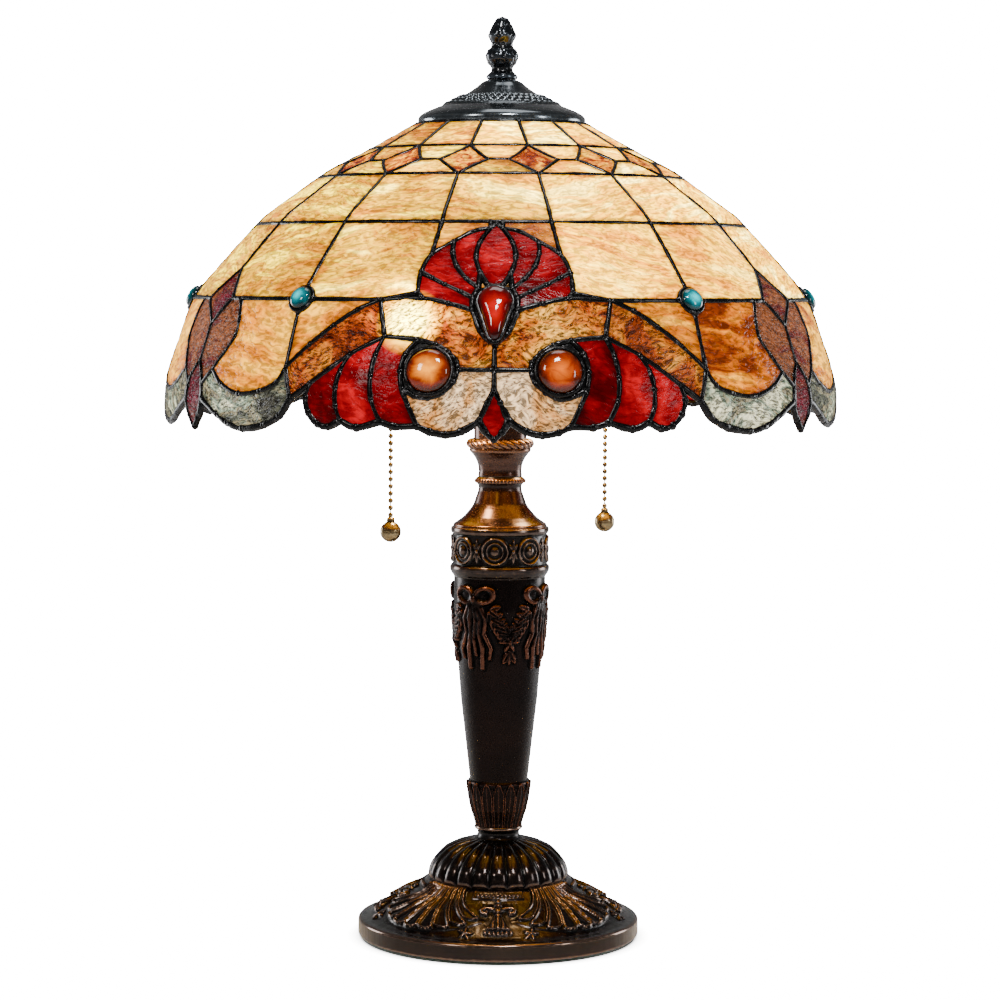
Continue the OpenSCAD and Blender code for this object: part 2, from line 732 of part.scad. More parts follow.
module jewel_bezels() color(solder) every_half() {
    stand_on_dome(eye_at) bezel(eye_d / 2);
    stand_on_dome(gem_at) bezel(gem_d / 2);
}

module solder_crown() color(solder) {
    every_column() for (outline = [row_pane_1, row_pane_2, row_pane_3, row_pane_4]) seam(outline);
    every_column(half_column) seam(diamond);
}

half_outlines = [
    field_pane_1, field_pane_2, corner_pane, corner_pane_2, petal_1, petal_2, petal_3, band_pane_1,
    band_pane_2, cheek_pane, fan_1, fan_2, fan_3, tongue, scallop_pane, side_petal
];

module solder_skirt() color(solder) {
    every_motif() for (outline = [petal_0, kite, side_diamond, side_drop]) seam(outline);
    every_half() for (outline = half_outlines) seam(outline);
}

// ---- The finial ----

insert_r = 4.4;

module finial_insert() color(brass) translate([0, 0, finial_z]) difference() {
    cylinder(r = insert_r, h = 11.5);
    translate([0, 0, -1]) cylinder(r = stud_r + 0.1, h = 20);
}

module finial() color(dark_bronze) turned([
    [insert_r + running_gap, finial_z], [8.7, finial_z], [9.3, 519], [6.6, 521.4], [6.6, 523.8], [8.1, 526.2],
    [9.3, 528.6], [9.6, 531], [9, 533.4], [6.9, 535.8], [6.3, 538.2], [7.5, 540.6], [8.1, 543], [6.3, 545.4],
    [5.4, 548], [4.2, 550.3], [2.4, 552.7], [0, 554], [0, 530.5], [insert_r + running_gap, 530.5]
]);

felt_pad();
base_plate();
base_leaves();
base_palmettes();
cord_inlet();
base_dome();
dome_ring();
leaf_cup();
column();
column_festoons();
medallion_band();
medallions();
neck();
rope_collar();
sleeve();
threaded_rod();
rod_washer();
rod_nut();
cluster_hub();
cluster_arms();
socket_caps();
socket_shells();
socket_liners();
socket_threads();
chain_guides();
seat_nut();
seat_washer();
left_bulb_contact();
left_bulb_cap();
left_bulb_glass();
right_bulb_contact();
right_bulb_cap();
right_bulb_glass();
left_chain_link();
left_chain();
right_chain_link();
right_chain();
shade_cap();
cap_filigree();
cap_ring();
glass_crown();
glass_diamonds();
glass_band();
glass_field();
glass_corners();
glass_lotus();
glass_ripple();
glass_cheeks();
glass_fans();
glass_tongues();
glass_scallops();
glass_side_motifs();
jewel_drops();
jewel_eyes();
jewel_gems();
jewel_bezels();
solder_crown();
solder_skirt();
finial_insert();
finial();
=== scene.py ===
"""Looks of the leaded glass table lamp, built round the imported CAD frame.

Lengths are in mm until a mesh is made.
"""

import itertools
import math

import bpy
import numpy as np
from mathutils import Matrix, Vector, geometry


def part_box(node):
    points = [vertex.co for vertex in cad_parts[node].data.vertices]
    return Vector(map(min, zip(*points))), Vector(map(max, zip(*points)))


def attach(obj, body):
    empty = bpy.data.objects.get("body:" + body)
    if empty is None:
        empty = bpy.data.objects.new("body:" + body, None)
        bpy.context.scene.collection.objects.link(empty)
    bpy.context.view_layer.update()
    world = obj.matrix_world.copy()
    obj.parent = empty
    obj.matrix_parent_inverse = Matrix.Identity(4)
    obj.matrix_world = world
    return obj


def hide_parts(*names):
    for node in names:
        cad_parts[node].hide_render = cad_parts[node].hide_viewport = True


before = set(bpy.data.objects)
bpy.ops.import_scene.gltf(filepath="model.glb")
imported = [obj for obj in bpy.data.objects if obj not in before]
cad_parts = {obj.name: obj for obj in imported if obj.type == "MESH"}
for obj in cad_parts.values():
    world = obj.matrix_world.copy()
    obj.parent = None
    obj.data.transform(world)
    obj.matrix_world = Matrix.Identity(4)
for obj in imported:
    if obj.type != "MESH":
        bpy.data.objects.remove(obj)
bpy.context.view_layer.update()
MM = 0.001
rng = np.random.default_rng(11)


def box(node):
    """The lower and upper corners of a node's box, in mm."""
    lo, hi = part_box(node)
    return np.array(lo) / MM, np.array(hi) / MM


def smoothstep(a, b, x):
    """0 at a, 1 at b and smooth between, where b may be below a."""
    t = np.clip((x - a) / (b - a), 0, 1)
    return t * t * (3 - 2 * t)


def wrap(a, period=360.0):
    """Angle or distance brought to within half a period of 0."""
    return (a + period / 2) % period - period / 2


def waves(p, wavelength, seed, octaves=3):
    """Smooth seeded noise from -1 to 1 at points p, from sums of sines."""
    r = np.random.default_rng(seed)
    out, gain, total = np.zeros(len(p)), 1.0, 0.0
    for octave in range(octaves):
        for _ in range(7):
            d = r.normal(size=p.shape[1])
            d /= np.linalg.norm(d)
            k = 2 * np.pi / (wavelength / 2**octave) * r.uniform(0.6, 1.4)
            out += gain * np.sin(p @ d * k + r.uniform(0, 6.28)) / 7**0.5
        total += gain
        gain *= 0.55
    return np.clip(out / total, -1, 1)


# ---- Meshes ----


class Piece:
    """Points and faces of one object, gathered from parts, with float or vector attributes on the points."""

    def __init__(self):
        self.points, self.faces, self.values, self.count = [], [], [], 0

    def add(self, points, faces, **values):
        points = np.asarray(points, float)
        self.points.append(points)
        self.faces += [tuple(int(i) + self.count for i in f) for f in faces]
        size = len(points)
        self.values.append({k: np.broadcast_to(v, (size, *np.shape(v)[1:])) for k, v in values.items()})
        self.count += len(points)

    def build(self, name, body, slot, material, nodes=()):
        mesh = bpy.data.meshes.new(name)
        points = np.concatenate(self.points)
        mesh.from_pydata((points * MM).tolist(), [], self.faces)
        keys = sorted(set(k for v in self.values for k in v))
        for key in keys:
            kept = [np.asarray(v[key], float) for v in self.values]
            data = np.concatenate([k if k.ndim > 1 else k[:, None] for k in kept])
            if data.shape[1] == 3:
                attribute = mesh.attributes.new(key, "FLOAT_VECTOR", "POINT")
                attribute.data.foreach_set("vector", data.astype(np.float32).ravel())
            else:
                attribute = mesh.attributes.new(key, "FLOAT", "POINT")
                attribute.data.foreach_set("value", data.astype(np.float32).ravel())
        mesh.materials.append(material)
        mesh.shade_smooth()
        mesh.update()
        o = bpy.data.objects.new(name, mesh)
        bpy.context.scene.collection.objects.link(o)
        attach(o, body)
        if nodes:
            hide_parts(*nodes)
        return o


def grid_faces(rows, columns, wrap_columns=True):
    """Quads of a grid of points, facing outward when rows go up and columns turn to the right."""
    last = columns if wrap_columns else columns - 1
    i, j = np.meshgrid(np.arange(rows - 1), np.arange(last), indexing="ij")
    k = (j + 1) % columns
    quads = np.stack([i * columns + j, i * columns + k, (i + 1) * columns + k, (i + 1) * columns + j], -1)
    return quads.reshape(-1, 4).tolist()


def resample(profile, step, rounding=0.0):
    """A profile of (radius, height) at even steps, its corners rounded by about that length."""
    p = np.asarray(profile, float)
    run = np.concatenate([[0], np.cumsum(np.hypot(*np.diff(p, axis=0).T))])
    fine = np.linspace(0, run[-1], max(int(run[-1] / 0.1), 8))
    q = np.stack([np.interp(fine, run, p[:, 0]), np.interp(fine, run, p[:, 1])], -1)
    if rounding > 0:
        n = max(int(rounding / 0.1) // 2, 1)
        for _ in range(3):
            padded = np.concatenate([np.repeat(q[:1], n, 0), q, np.repeat(q[-1:], n, 0)])
            total = np.cumsum(np.concatenate([np.zeros((1, 2)), padded]), axis=0)
            q = (total[2 * n + 1 :] - total[: -2 * n - 1]) / (2 * n + 1)
            q[0], q[-1] = p[0], p[-1]
    run = np.concatenate([[0], np.cumsum(np.hypot(*np.diff(q, axis=0).T))])
    at = np.linspace(0, run[-1], max(int(run[-1] / step) + 1, 3))
    return np.stack([np.interp(at, run, q[:, 0]), np.interp(at, run, q[:, 1])], -1), at


def blurred(h, rows, columns):
    """h smoothed over about that many rows and columns, closed round its columns."""
    f = np.concatenate([h[::-1], h, h[::-1]])
    fy, fx = np.fft.fftfreq(f.shape[0])[:, None], np.fft.rfftfreq(f.shape[1])[None, :]
    spread = np.exp(-2 * np.pi**2 * ((fy * rows) ** 2 + (fx * columns) ** 2))
    return np.fft.irfft2(np.fft.rfft2(f) * spread, s=f.shape)[h.shape[0] : 2 * h.shape[0]]


def turned(piece, profile, columns, step, height=None, rounding=0.8, centre=(0, 0), worn=1.0):
    """Adds a turned surface whose profile goes up its outer side.

    height(angle from the front, radius, z) raises it. The wear attribute is near 1 on raised edges, 0.5 on
    plain metal and 0 in recesses.
    """
    q, run = resample(profile, step, rounding)
    angle = np.arange(columns) * 360.0 / columns
    a, r = np.meshgrid(angle, q[:, 0])
    z = np.repeat(q[:, 1:2], columns, 1)
    d = np.gradient(q, run, axis=0)
    d /= np.maximum(np.hypot(d[:, 0], d[:, 1]), 1e-9)[:, None]
    nr, nz = np.repeat(d[:, 1:2], columns, 1), np.repeat(-d[:, 0:1], columns, 1)
    h = height(a, r, z) if height else np.zeros_like(a)
    wide = 1.1 / step
    around = 1.1 / max(2 * np.pi * q[:, 0].mean() / columns, 0.05)
    relief = h - blurred(h, wide, around)
    bend = q - np.stack([blurred(q[:, i : i + 1].repeat(2, 1), wide, 0.01)[:, 0] for i in (0, 1)], -1)
    edge = np.repeat((bend[:, 0] * d[:, 1] - bend[:, 1] * d[:, 0])[:, None], columns, 1)
    wear = np.clip(0.5 + worn * (relief * 1.1 + edge * 1.6), 0, 1)
    rr, zz, t = r + nr * h, z + nz * h, np.radians(a)
    points = np.stack([centre[0] + rr * np.sin(t), centre[1] - rr * np.cos(t), zz], -1).reshape(-1, 3)
    piece.add(points, grid_faces(len(q), columns), wear=wear.ravel())


def tube(piece, points, radii, sides=10, normals=None, flat=1.0, closed=False, **values):
    """Adds a swept tube through points. With normals, its height along them is radius times flat."""
    p = np.asarray(points, float)
    n = len(p)
    radii = np.broadcast_to(np.asarray(radii, float), (n,))
    if closed:
        t = np.roll(p, -1, 0) - np.roll(p, 1, 0)
    else:
        t = np.gradient(p, axis=0)
    t /= np.maximum(np.linalg.norm(t, axis=1), 1e-9)[:, None]
    if normals is None:
        up = np.where(np.abs(t[:, 2:3]) > 0.9, [[1.0, 0, 0]], [[0, 0, 1.0]])
    else:
        up = np.asarray(normals, float)
    side = np.cross(t, up)
    side /= np.maximum(np.linalg.norm(side, axis=1), 1e-9)[:, None]
    up = np.cross(side, t)
    k = np.arange(sides) * 2 * np.pi / sides
    ring = side[:, None] * np.cos(k)[None, :, None] + up[:, None] * np.sin(k)[None, :, None] * flat
    rings = p[:, None] + ring * radii[:, None, None]
    faces = grid_faces(n, sides)
    verts = rings.reshape(-1, 3)
    if closed:
        last = (n - 1) * sides
        faces += [(last + i, last + (i + 1) % sides, (i + 1) % sides, i) for i in range(sides)]
    else:
        verts = np.concatenate([verts, p[:1] - t[:1] * radii[0] * 0.6, p[-1:] + t[-1:] * radii[-1] * 0.6])
        last, tip = (n - 1) * sides, n * sides
        faces += [(i, tip, (i + 1) % sides) for i in range(sides)]
        faces += [(last + i, last + (i + 1) % sides, tip + 1) for i in range(sides)]
    piece.add(verts, faces, **values)


def ball(piece, centre, radius, axis=(0, 0, 1), flat=1.0, rings=10, sides=16, **values):
    """Adds a ball, squashed along axis when flat is below 1."""
    up = np.asarray(axis, float) / np.linalg.norm(axis)
    s = np.cross(up, [1.0, 0, 0] if abs(up[0]) < 0.8 else [0, 1.0, 0])
    s /= np.linalg.norm(s)
    f = np.cross(up, s)
    lat = np.linspace(-np.pi / 2, np.pi / 2, rings)[1:-1]
    lon = np.arange(sides) * 2 * np.pi / sides
    c = (s[None] * np.cos(lon)[:, None] + f[None] * np.sin(lon)[:, None])[None] * np.cos(lat)[:, None, None]
    verts = (c + up[None, None] * np.sin(lat)[:, None, None] * flat) * radius + np.asarray(centre, float)
    n = rings - 2
    verts = np.concatenate([verts.reshape(-1, 3), [centre - up * radius * flat, centre + up * radius * flat]])
    faces = grid_faces(n, sides) + [(n * sides, (i + 1) % sides, i) for i in range(sides)]
    faces += [((n - 1) * sides + i, (n - 1) * sides + (i + 1) % sides, n * sides + 1) for i in range(sides)]
    piece.add(verts, faces, **values)


# ---- Materials ----


def srgb(r, g, b):
    """A colour of 0 to 255 values as the linear one that sockets take."""
    c = np.array([r, g, b]) / 255
    c = np.where(c <= 0.04045, c / 12.92, ((c + 0.055) / 1.055) ** 2.4)
    return (*c.tolist(), 1.0)


class Nodes:
    """Makes shader nodes in one line each."""

    def __init__(self, name):
        self.material = bpy.data.materials.new(name)
        self.material.use_nodes = True
        self.tree = self.material.node_tree
        self.tree.nodes.clear()

    def add(self, kind, values=None, **settings):
        node = self.tree.nodes.new("ShaderNode" + kind)
        for key, value in settings.items():
            setattr(node, key, value)
        for key, value in (values or {}).items():
            socket = node.inputs[key]
            if isinstance(value, bpy.types.NodeSocket):
                self.tree.links.new(value, socket)
            else:
                socket.default_value = value
        return node

    def attribute(self, name, output="Fac"):
        return self.add("Attribute", attribute_name=name, attribute_type="GEOMETRY").outputs[output]

    def position(self):
        return self.add("TexCoord").outputs["Object"]

    def noise(self, vector, scale, detail=4.0, rough=0.55, distortion=0.0, output="Fac"):
        values = {"Vector": vector, "Scale": scale, "Detail": detail}
        values |= {"Roughness": rough, "Distortion": distortion}
        return self.add("TexNoise", values).outputs[output]

    def math(self, operation, a, b, clamp=False):
        return self.add("Math", {0: a, 1: b}, operation=operation, use_clamp=clamp).outputs[0]

    def plus(self, a, b, clamp=False):
        return self.math("ADD", a, b, clamp)

    def times(self, a, b):
        return self.math("MULTIPLY", a, b)

    def swing(self, value, strength):
        """How far value is from a half, times strength."""
        return self.times(self.math("SUBTRACT", value, 0.5), strength)

    def vector(self, operation, a, b):
        return self.add("VectorMath", {0: a, 1: b}, operation=operation).outputs[0]

    def ramp(self, value, *stops):
        node = self.add("ValToRGB", {"Fac": value})
        elements = node.color_ramp.elements
        while len(elements) < len(stops):
            elements.new(0.5)
        for element, (at, colour) in zip(elements, stops, strict=True):
            element.position = at
            element.color = colour if len(colour) == 4 else (*colour, 1)
        return node.outputs["Color"]

    def grey(self, value, low, high, at=(0.0, 1.0)):
        """value mapped from at to the range from low to high."""
        values = {"Value": value, "From Min": at[0], "From Max": at[1], "To Min": low, "To Max": high}
        return self.add("MapRange", values).outputs[0]

    def mix(self, factor, a, b, blend="MIX"):
        values = {"Factor": factor, 6: a, 7: b}
        return self.add("Mix", values, data_type="RGBA", blend_type=blend).outputs[2]

    def bump(self, height, strength, distance, normal=None):
        values = {"Height": height, "Strength": strength, "Distance": distance}
        if normal is not None:
            values["Normal"] = normal
        return self.add("Bump", values).outputs[0]

    def done(self, values):
        """The finished material, a Principled shader of those values."""
        shader = self.add("BsdfPrincipled", values).outputs[0]
        self.add("OutputMaterial", {"Surface": shader})
        return self.material


BLACK = (0, 0, 0, 1)


def metal(
    name, dark, plain, worn, rough, metallic=0.85, mottle=0.35, grain=0.25, coat=0.25, coat_rough=0.18,
):
    """Patinated cast metal: dark in recesses, rubbed on raised edges, mottled in between."""
    n = Nodes(name)
    p = n.position()
    broad = n.noise(p, 28, 2, 0.5, 0.4)
    fine = n.noise(p, 260, 6, 0.65)
    ragged = n.plus(n.attribute("wear"), n.swing(fine, 0.3))
    high = n.grey(ragged, 0, 1, (0.66, 1.05))
    low = n.grey(ragged, 1, 0, (0.12, 0.48))
    base = n.mix(n.times(n.grey(broad, 0, 1, (0.38, 0.66)), mottle), plain, worn)
    base = n.mix(low, base, dark)
    base = n.mix(high, base, worn)
    roughness = n.plus(n.grey(fine, rough - 0.07, rough + 0.1, (0.3, 0.7)), n.times(low, 0.18))
    bump = n.bump(n.noise(p, 900, 3, 0.6), grain, 0.0002)
    bump = n.bump(broad, 0.1, 0.001, bump)
    values = {
        "Base Color": base, "Roughness": roughness, "Metallic": metallic, "Normal": bump,
        "Coat Weight": coat, "Coat Roughness": coat_rough, "IOR": 1.5,
    }
    return n.done(values)


bronze = metal(
    "cast_bronze", srgb(4, 3, 3), srgb(31, 24, 22), srgb(124, 100, 86), rough=0.17, metallic=0.9,
    mottle=0.05, grain=0.05, coat=0.2, coat_rough=0.1,
)
column_bronze = metal(
    "satin_bronze", srgb(3, 2, 2), srgb(17, 10, 9), srgb(92, 56, 42), rough=0.24, metallic=0.95,
    mottle=0.04, grain=0.015, coat=0.06, coat_rough=0.15,
)
copper_bronze = metal(
    "copper_bronze", srgb(16, 8, 6), srgb(66, 41, 31), srgb(140, 98, 70), rough=0.22,
    mottle=0.08, grain=0.03,
)
dark_bronze = metal(
    "blued_bronze", srgb(3, 4, 5), srgb(20, 24, 29), srgb(74, 82, 90), rough=0.16, metallic=0.8,
    mottle=0.08, grain=0.04, coat=0.6, coat_rough=0.1,
)
cap_bronze = metal(
    "cap_bronze", srgb(3, 4, 5), srgb(62, 68, 73), srgb(170, 178, 184), rough=0.16, metallic=0.95,
    mottle=0.08, grain=0.04, coat=0.4, coat_rough=0.1,
)
brass = metal("aged_brass", srgb(50, 32, 12), srgb(140, 98, 42), srgb(204, 162, 90), rough=0.3, coat=0.1)
chain_brass = metal(
    "chain_brass", srgb(30, 24, 14), srgb(112, 94, 62), srgb(196, 176, 134), rough=0.22, coat=0.2,
)
steel = metal(
    "plated_steel", srgb(60, 60, 58), srgb(150, 148, 142), srgb(210, 208, 204), rough=0.26, metallic=1.0,
)


def solder_material():
    """Blackened solder with silver where it is rubbed."""
    n = Nodes("blackened_solder")
    p = n.position()
    lumps = n.noise(p, 160, 4, 0.6)
    fine = n.noise(p, 700, 5, 0.65)
    rub = n.grey(n.times(lumps, fine), 0, 1, (0.3, 0.42))
    base = n.mix(rub, srgb(10, 9, 10), srgb(84, 82, 84))
    bump = n.bump(lumps, 0.35, 0.001)
    bump = n.bump(fine, 0.15, 0.0003, bump)
    values = {
        "Base Color": base, "Roughness": n.grey(fine, 0.2, 0.42, (0.3, 0.7)), "Metallic": 0.8, "Normal": bump,
        "Coat Weight": 0.2, "Coat Roughness": 0.15,
    }
    return n.done(values)


solder = solder_material()


def glass(
    name, colours, golden=None, streak=(18, 60, 30), warp=1.2, ripple=(0.5, 170, 0.0012), rough=0.12,
    light=1.0, contrast=(0.39, 0.61), shine=0.2,
):
    """Streaky art glass lit from inside.

    On the points, flow is a pane's own place in metres, tone its chance value, gold how much of the golden
    colours it takes, partly by chance and partly as painted light on the left side, rim is 1 next to the
    solder, and lit is how much of the bulbs' light comes through.
    ripple holds the strength, scale and depth of the surface's waves, and shine is how much it reflects.
    """
    n = Nodes(name)
    strength, scale, depth = ripple
    flow = n.attribute("flow", "Vector")
    tone, rim, lit = n.attribute("tone"), n.attribute("rim"), n.attribute("lit")
    drift = n.vector("SUBTRACT", n.noise(flow, 16, 3, 0.5, output="Color"), (0.5, 0.5, 0.5))
    bent = n.vector("ADD", flow, n.vector("MULTIPLY", drift, (0.02 * warp,) * 3))
    stretched = n.vector("MULTIPLY", bent, streak)
    swirl = n.noise(stretched, 1.0, 6, 0.6, 1.1)
    cloud = n.noise(bent, 22, 4, 0.55)
    value = n.grey(n.plus(n.times(swirl, 0.62), n.times(cloud, 0.38)), 0, 1, contrast)
    value = n.plus(value, n.swing(tone, 0.7), clamp=True)
    colour = n.ramp(value, *colours)
    if golden:
        # The golden colours come partly by chance and partly as painted light on the left side of the shade.
        blend = n.plus(n.attribute("gold"), n.swing(n.noise(bent, 14, 3), 1.6))
        colour = n.mix(n.grey(blend, 0, 1, (0.25, 0.75)), colour, n.ramp(value, *golden))
    # Darker next to the solder in a noisy band; further down, the glow is also dimmed there.
    near_solder_dark = n.times(n.math("POWER", rim, 2.0), n.grey(n.noise(flow, 130, 4), 0.35, 0.85, (0.3, 0.7)))
    colour = n.mix(near_solder_dark, colour, n.mix(0.65, colour, (0.1, 0.04, 0.02, 1), "MULTIPLY"))
    height = n.noise(n.vector("MULTIPLY", bent, (1.0, 2.2, 1.0)), scale, 3, 0.55, 0.8)
    bump = n.bump(height, strength, depth)
    bump = n.bump(n.noise(flow, 900, 2), 0.12, 0.0002, bump)
    shade = n.grey(height, 1 - 0.62 * strength, 1 + 1.1 * strength, (0.41, 0.62))
    power = n.times(n.times(lit, light), shade)
    power = n.times(power, n.grey(rim, 1.0, 0.75))
    glow = n.mix(n.grey(lit, 0, 1, (2.0, 3.4)), colour, (1.0, 0.4, 0.0, 1))
    glow = n.mix(n.grey(lit, 0, 1, (3.2, 5.6)), glow, (1.0, 0.74, 0.1, 1))
    values = {
        "Base Color": n.mix(0.85, colour, BLACK), "Normal": bump, "IOR": 1.45, "Specular IOR Level": shine,
        "Roughness": n.grey(n.noise(flow, 60, 3), rough - 0.05, rough + 0.1, (0.3, 0.7)),
        "Emission Color": glow, "Emission Strength": power,
    }
    return n.done(values)


cream_glass = glass("cream_glass", (
    (0.0, (0.75, 0.23, 0.0)), (0.25, (1.0, 0.4, 0.0)), (0.45, (1.3, 0.68, 0.01)), (0.6, (1.1, 0.44, 0.01)),
    (0.8, (1.45, 0.85, 0.05)), (1.0, (1.9, 1.35, 0.26)),
), (
    (0.0, (0.24, 0.06, 0.0)), (0.25, (0.34, 0.12, 0.0)), (0.5, (0.48, 0.25, 0.0)), (0.7, (0.38, 0.14, 0.0)),
    (0.85, (0.54, 0.3, 0.0)), (1.0, (0.8, 0.52, 0.0)),
), streak=(14, 60, 30), ripple=(0.7, 200, 0.003), light=4.5, contrast=(0.41, 0.59), shine=0.12)
amber_glass = glass("amber_glass", (
    (0.0, (0.1, 0.006, 0.0)), (0.36, (0.3, 0.035, 0.0)), (0.56, (0.8, 0.2, 0.0)), (1.0, (1.3, 0.62, 0.0)),
), streak=(120, 120, 120), warp=2.5, ripple=(0.95, 360, 0.0015), light=2.1)
orange_glass = glass("orange_glass", (
    (0.0, (0.2, 0.025, 0.0)), (0.3, (0.6, 0.13, 0.0)), (0.6, (1.0, 0.3, 0.0)), (1.0, (1.6, 0.72, 0.02)),
), ripple=(0.7, 180, 0.0014), light=1.9, shine=0.14)
red_glass = glass("red_glass", (
    (0.0, (0.09, 0.0, 0.002)), (0.4, (0.26, 0.0, 0.004)), (0.7, (0.42, 0.0, 0.006)),
    (1.0, (0.75, 0.003, 0.012)),
), streak=(26, 26, 10), ripple=(0.5, 150, 0.0012), rough=0.1, light=1.05, shine=0.1)
brown_glass = glass("ripple_glass", (
    (0.0, (0.1, 0.01, 0.0)), (0.4, (0.34, 0.05, 0.003)), (0.68, (0.66, 0.19, 0.01)),
    (1.0, (1.05, 0.48, 0.06)),
), streak=(45, 45, 45), warp=2.2, ripple=(1.4, 300, 0.004), rough=0.1, light=1.35)
cheek_glass = glass("cheek_glass", (
    (0.0, (0.36, 0.1, 0.02)), (0.4, (0.75, 0.28, 0.06)), (0.7, (1.0, 0.5, 0.17)), (1.0, (1.3, 0.85, 0.45)),
), streak=(45, 45, 45), warp=2.2, ripple=(1.3, 300, 0.004), rough=0.1, light=1.15)
green_glass = glass("scallop_glass", (
    (0.0, (0.05, 0.045, 0.03)), (0.35, (0.17, 0.18, 0.12)), (0.55, (0.42, 0.34, 0.18)),
    (0.75, (0.26, 0.36, 0.25)), (1.0, (1.1, 1.05, 0.65)),
), streak=(30, 70, 30), warp=2.0, ripple=(1.4, 260, 0.004), rough=0.1)
maroon_glass = glass("maroon_glass", (
    (0.0, (0.06, 0.0, 0.006)), (0.45, (0.17, 0.0, 0.016)), (0.75, (0.19, 0.02, 0.012)),
    (1.0, (0.36, 0.1, 0.03)),
), ripple=(1.0, 280, 0.002), rough=0.1, light=0.9, shine=0.1)


JEWEL_ROUGH = 0.04


def jewel(name, deep, clear, glow):
    """A pressed glass jewel, smooth and shiny: deep at its rim and clear in the middle, with a painted glow
    strongest in the middle and painted shade darkening the rim.
    """
    n = Nodes(name)
    flow, rim, lit = n.attribute("flow", "Vector"), n.attribute("rim"), n.attribute("lit")
    swirl = n.noise(flow, 90, 4, 0.5, 1.2)
    # depth runs from the middle to the rim, mixed with a swirl of the glass's own streaks; near the rim it
    # brings painted shade.
    depth = n.plus(n.math("POWER", rim, 1.3), n.swing(swirl, 0.9), clamp=True)
    colour = n.ramp(depth, (0.0, clear), (0.55, deep), (1.0, tuple(0.15 * c for c in deep[:3])))
    # Painted light: the glow is strongest in the middle and fades toward the rim, with a brighter glow colour
    # in the middle of lit jewels.
    light = n.times(n.math("MINIMUM", lit, 1.5), n.grey(depth, 1.25, 0.05))
    painted_inner_glow = n.times(n.grey(lit, 0, 1, (1.0, 2.0)), n.grey(depth, 1.0, 0.0, (0.1, 0.7)))
    values = {
        "Base Color": n.mix(0.6, colour, BLACK), "Roughness": n.grey(swirl, JEWEL_ROUGH, JEWEL_ROUGH + 0.06),
        "Specular IOR Level": 0.5, "Emission Color": n.mix(painted_inner_glow, colour, glow), "Emission Strength": light,
        "Normal": n.bump(swirl, 0.12, 0.001),
    }
    return n.done(values)


amber_jewel = jewel("amber_jewel", (0.4, 0.03, 0.0, 1), (0.95, 0.17, 0.0, 1), (1.2, 0.42, 0.0, 1))
red_jewel = jewel("red_jewel", (0.2, 0.0, 0.0, 1), (0.5, 0.0, 0.0, 1), (0.8, 0.01, 0.0, 1))
blue_jewel = jewel("blue_jewel", (0.0, 0.2, 0.24, 1), (0.0, 0.8, 0.86, 1), (0.0, 0.8, 0.8, 1))


def mottled(name, colour, second, rough, scale=120, bump=0.3, distance=0.0005, sheen=0.0, **more):
    """A two-tone material with bump."""
    n = Nodes(name)
    p = n.position()
    broad, fine = n.noise(p, scale, 5, 0.6), n.noise(p, scale * 7, 4, 0.6)
    values = {
        "Base Color": n.mix(n.grey(broad, 0, 1, (0.35, 0.65)), colour, second), "Sheen Weight": sheen,
        "Roughness": n.grey(fine, rough - 0.06, rough + 0.1, (0.3, 0.7)),
        "Normal": n.bump(fine, bump, distance), **more,
    }
    return n.done(values)


felt = mottled("felt", srgb(24, 44, 32), srgb(36, 60, 44), 0.9, 300, bump=0.9, distance=0.001, sheen=0.5)
black_plastic = mottled("black_bush", srgb(16, 15, 15), srgb(30, 28, 27), 0.5)
liner = mottled("liner", srgb(70, 52, 38), srgb(104, 84, 62), 0.75)
bulb_glass = mottled("bulb_glass", srgb(255, 240, 206), srgb(255, 228, 170), 0.2, 60, bump=0.05, **{
    "Emission Color": srgb(255, 214, 140), "Emission Strength": 6.0,
})


# ---- The stand ----


def cast(name, slot, look, nodes, profile, columns, step, height, rounding, worn=1.0, body="stand"):
    """Builds one turned casting, which stands in for those nodes."""
    piece = Piece()
    turned(piece, profile, columns, step, height, rounding, worn=worn)
    piece.build(name, body, slot, look, nodes)


def above(z, *points):
    """Profile points whose heights are measured from z."""
    return [(radius, z + up) for radius, up in points]


def stroke(x, y, points, w0, w1, h):
    """A rounded ridge of height h along a line, from half width w0 to w1."""
    p = np.asarray(points, float)
    best = np.full(x.shape, -1.0)
    total = np.hypot(*np.diff(p, axis=0).T).sum()
    run = 0.0
    for a, b in zip(p[:-1], p[1:], strict=True):
        d = b - a
        length = np.hypot(*d)
        t = np.clip(((x - a[0]) * d[0] + (y - a[1]) * d[1]) / length**2, 0, 1)
        w = w0 + (w1 - w0) * (run + t * length) / total
        far = np.hypot(x - a[0] - t * d[0], y - a[1] - t * d[1]) / w
        best = np.maximum(best, 1 - far**2)
        run += length
    return h * np.sqrt(np.clip(best, 0, 1))


def blob(x, y, cx, cy, rx, ry, h):
    """A rounded boss of height h over an ellipse."""
    return h * np.sqrt(np.clip(1 - ((x - cx) / rx) ** 2 - ((y - cy) / ry) ** 2, 0, 1))


def leaf(x, y, cx, cy, angle, length, width, h):
    """A pointed leaf with a vein, growing from (cx, cy) at that angle from +x."""
    c, s = math.cos(math.radians(angle)), math.sin(math.radians(angle))
    u = ((x - cx) * c + (y - cy) * s) / length
    v = -(x - cx) * s + (y - cy) * c
    half = width * np.sin(np.pi * np.clip(u, 0, 1) ** 0.8)
    inside = np.clip(1 - (v / np.maximum(half, 1e-3)) ** 2, 0, 1) * ((u > 0) & (u < 1))
    vein = 1 - 0.45 * np.exp(-((v / (0.16 * width + 0.05)) ** 2))
    return h * np.sqrt(inside) * vein


def rim_profile(d, rise=0.5, channel=1.7, keep=0.45):
    """A raised border: up within rise of the outline, then down to a share of the height."""
    return smoothstep(0, rise, d) * (1 - (1 - keep) * smoothstep(rise, channel, d))


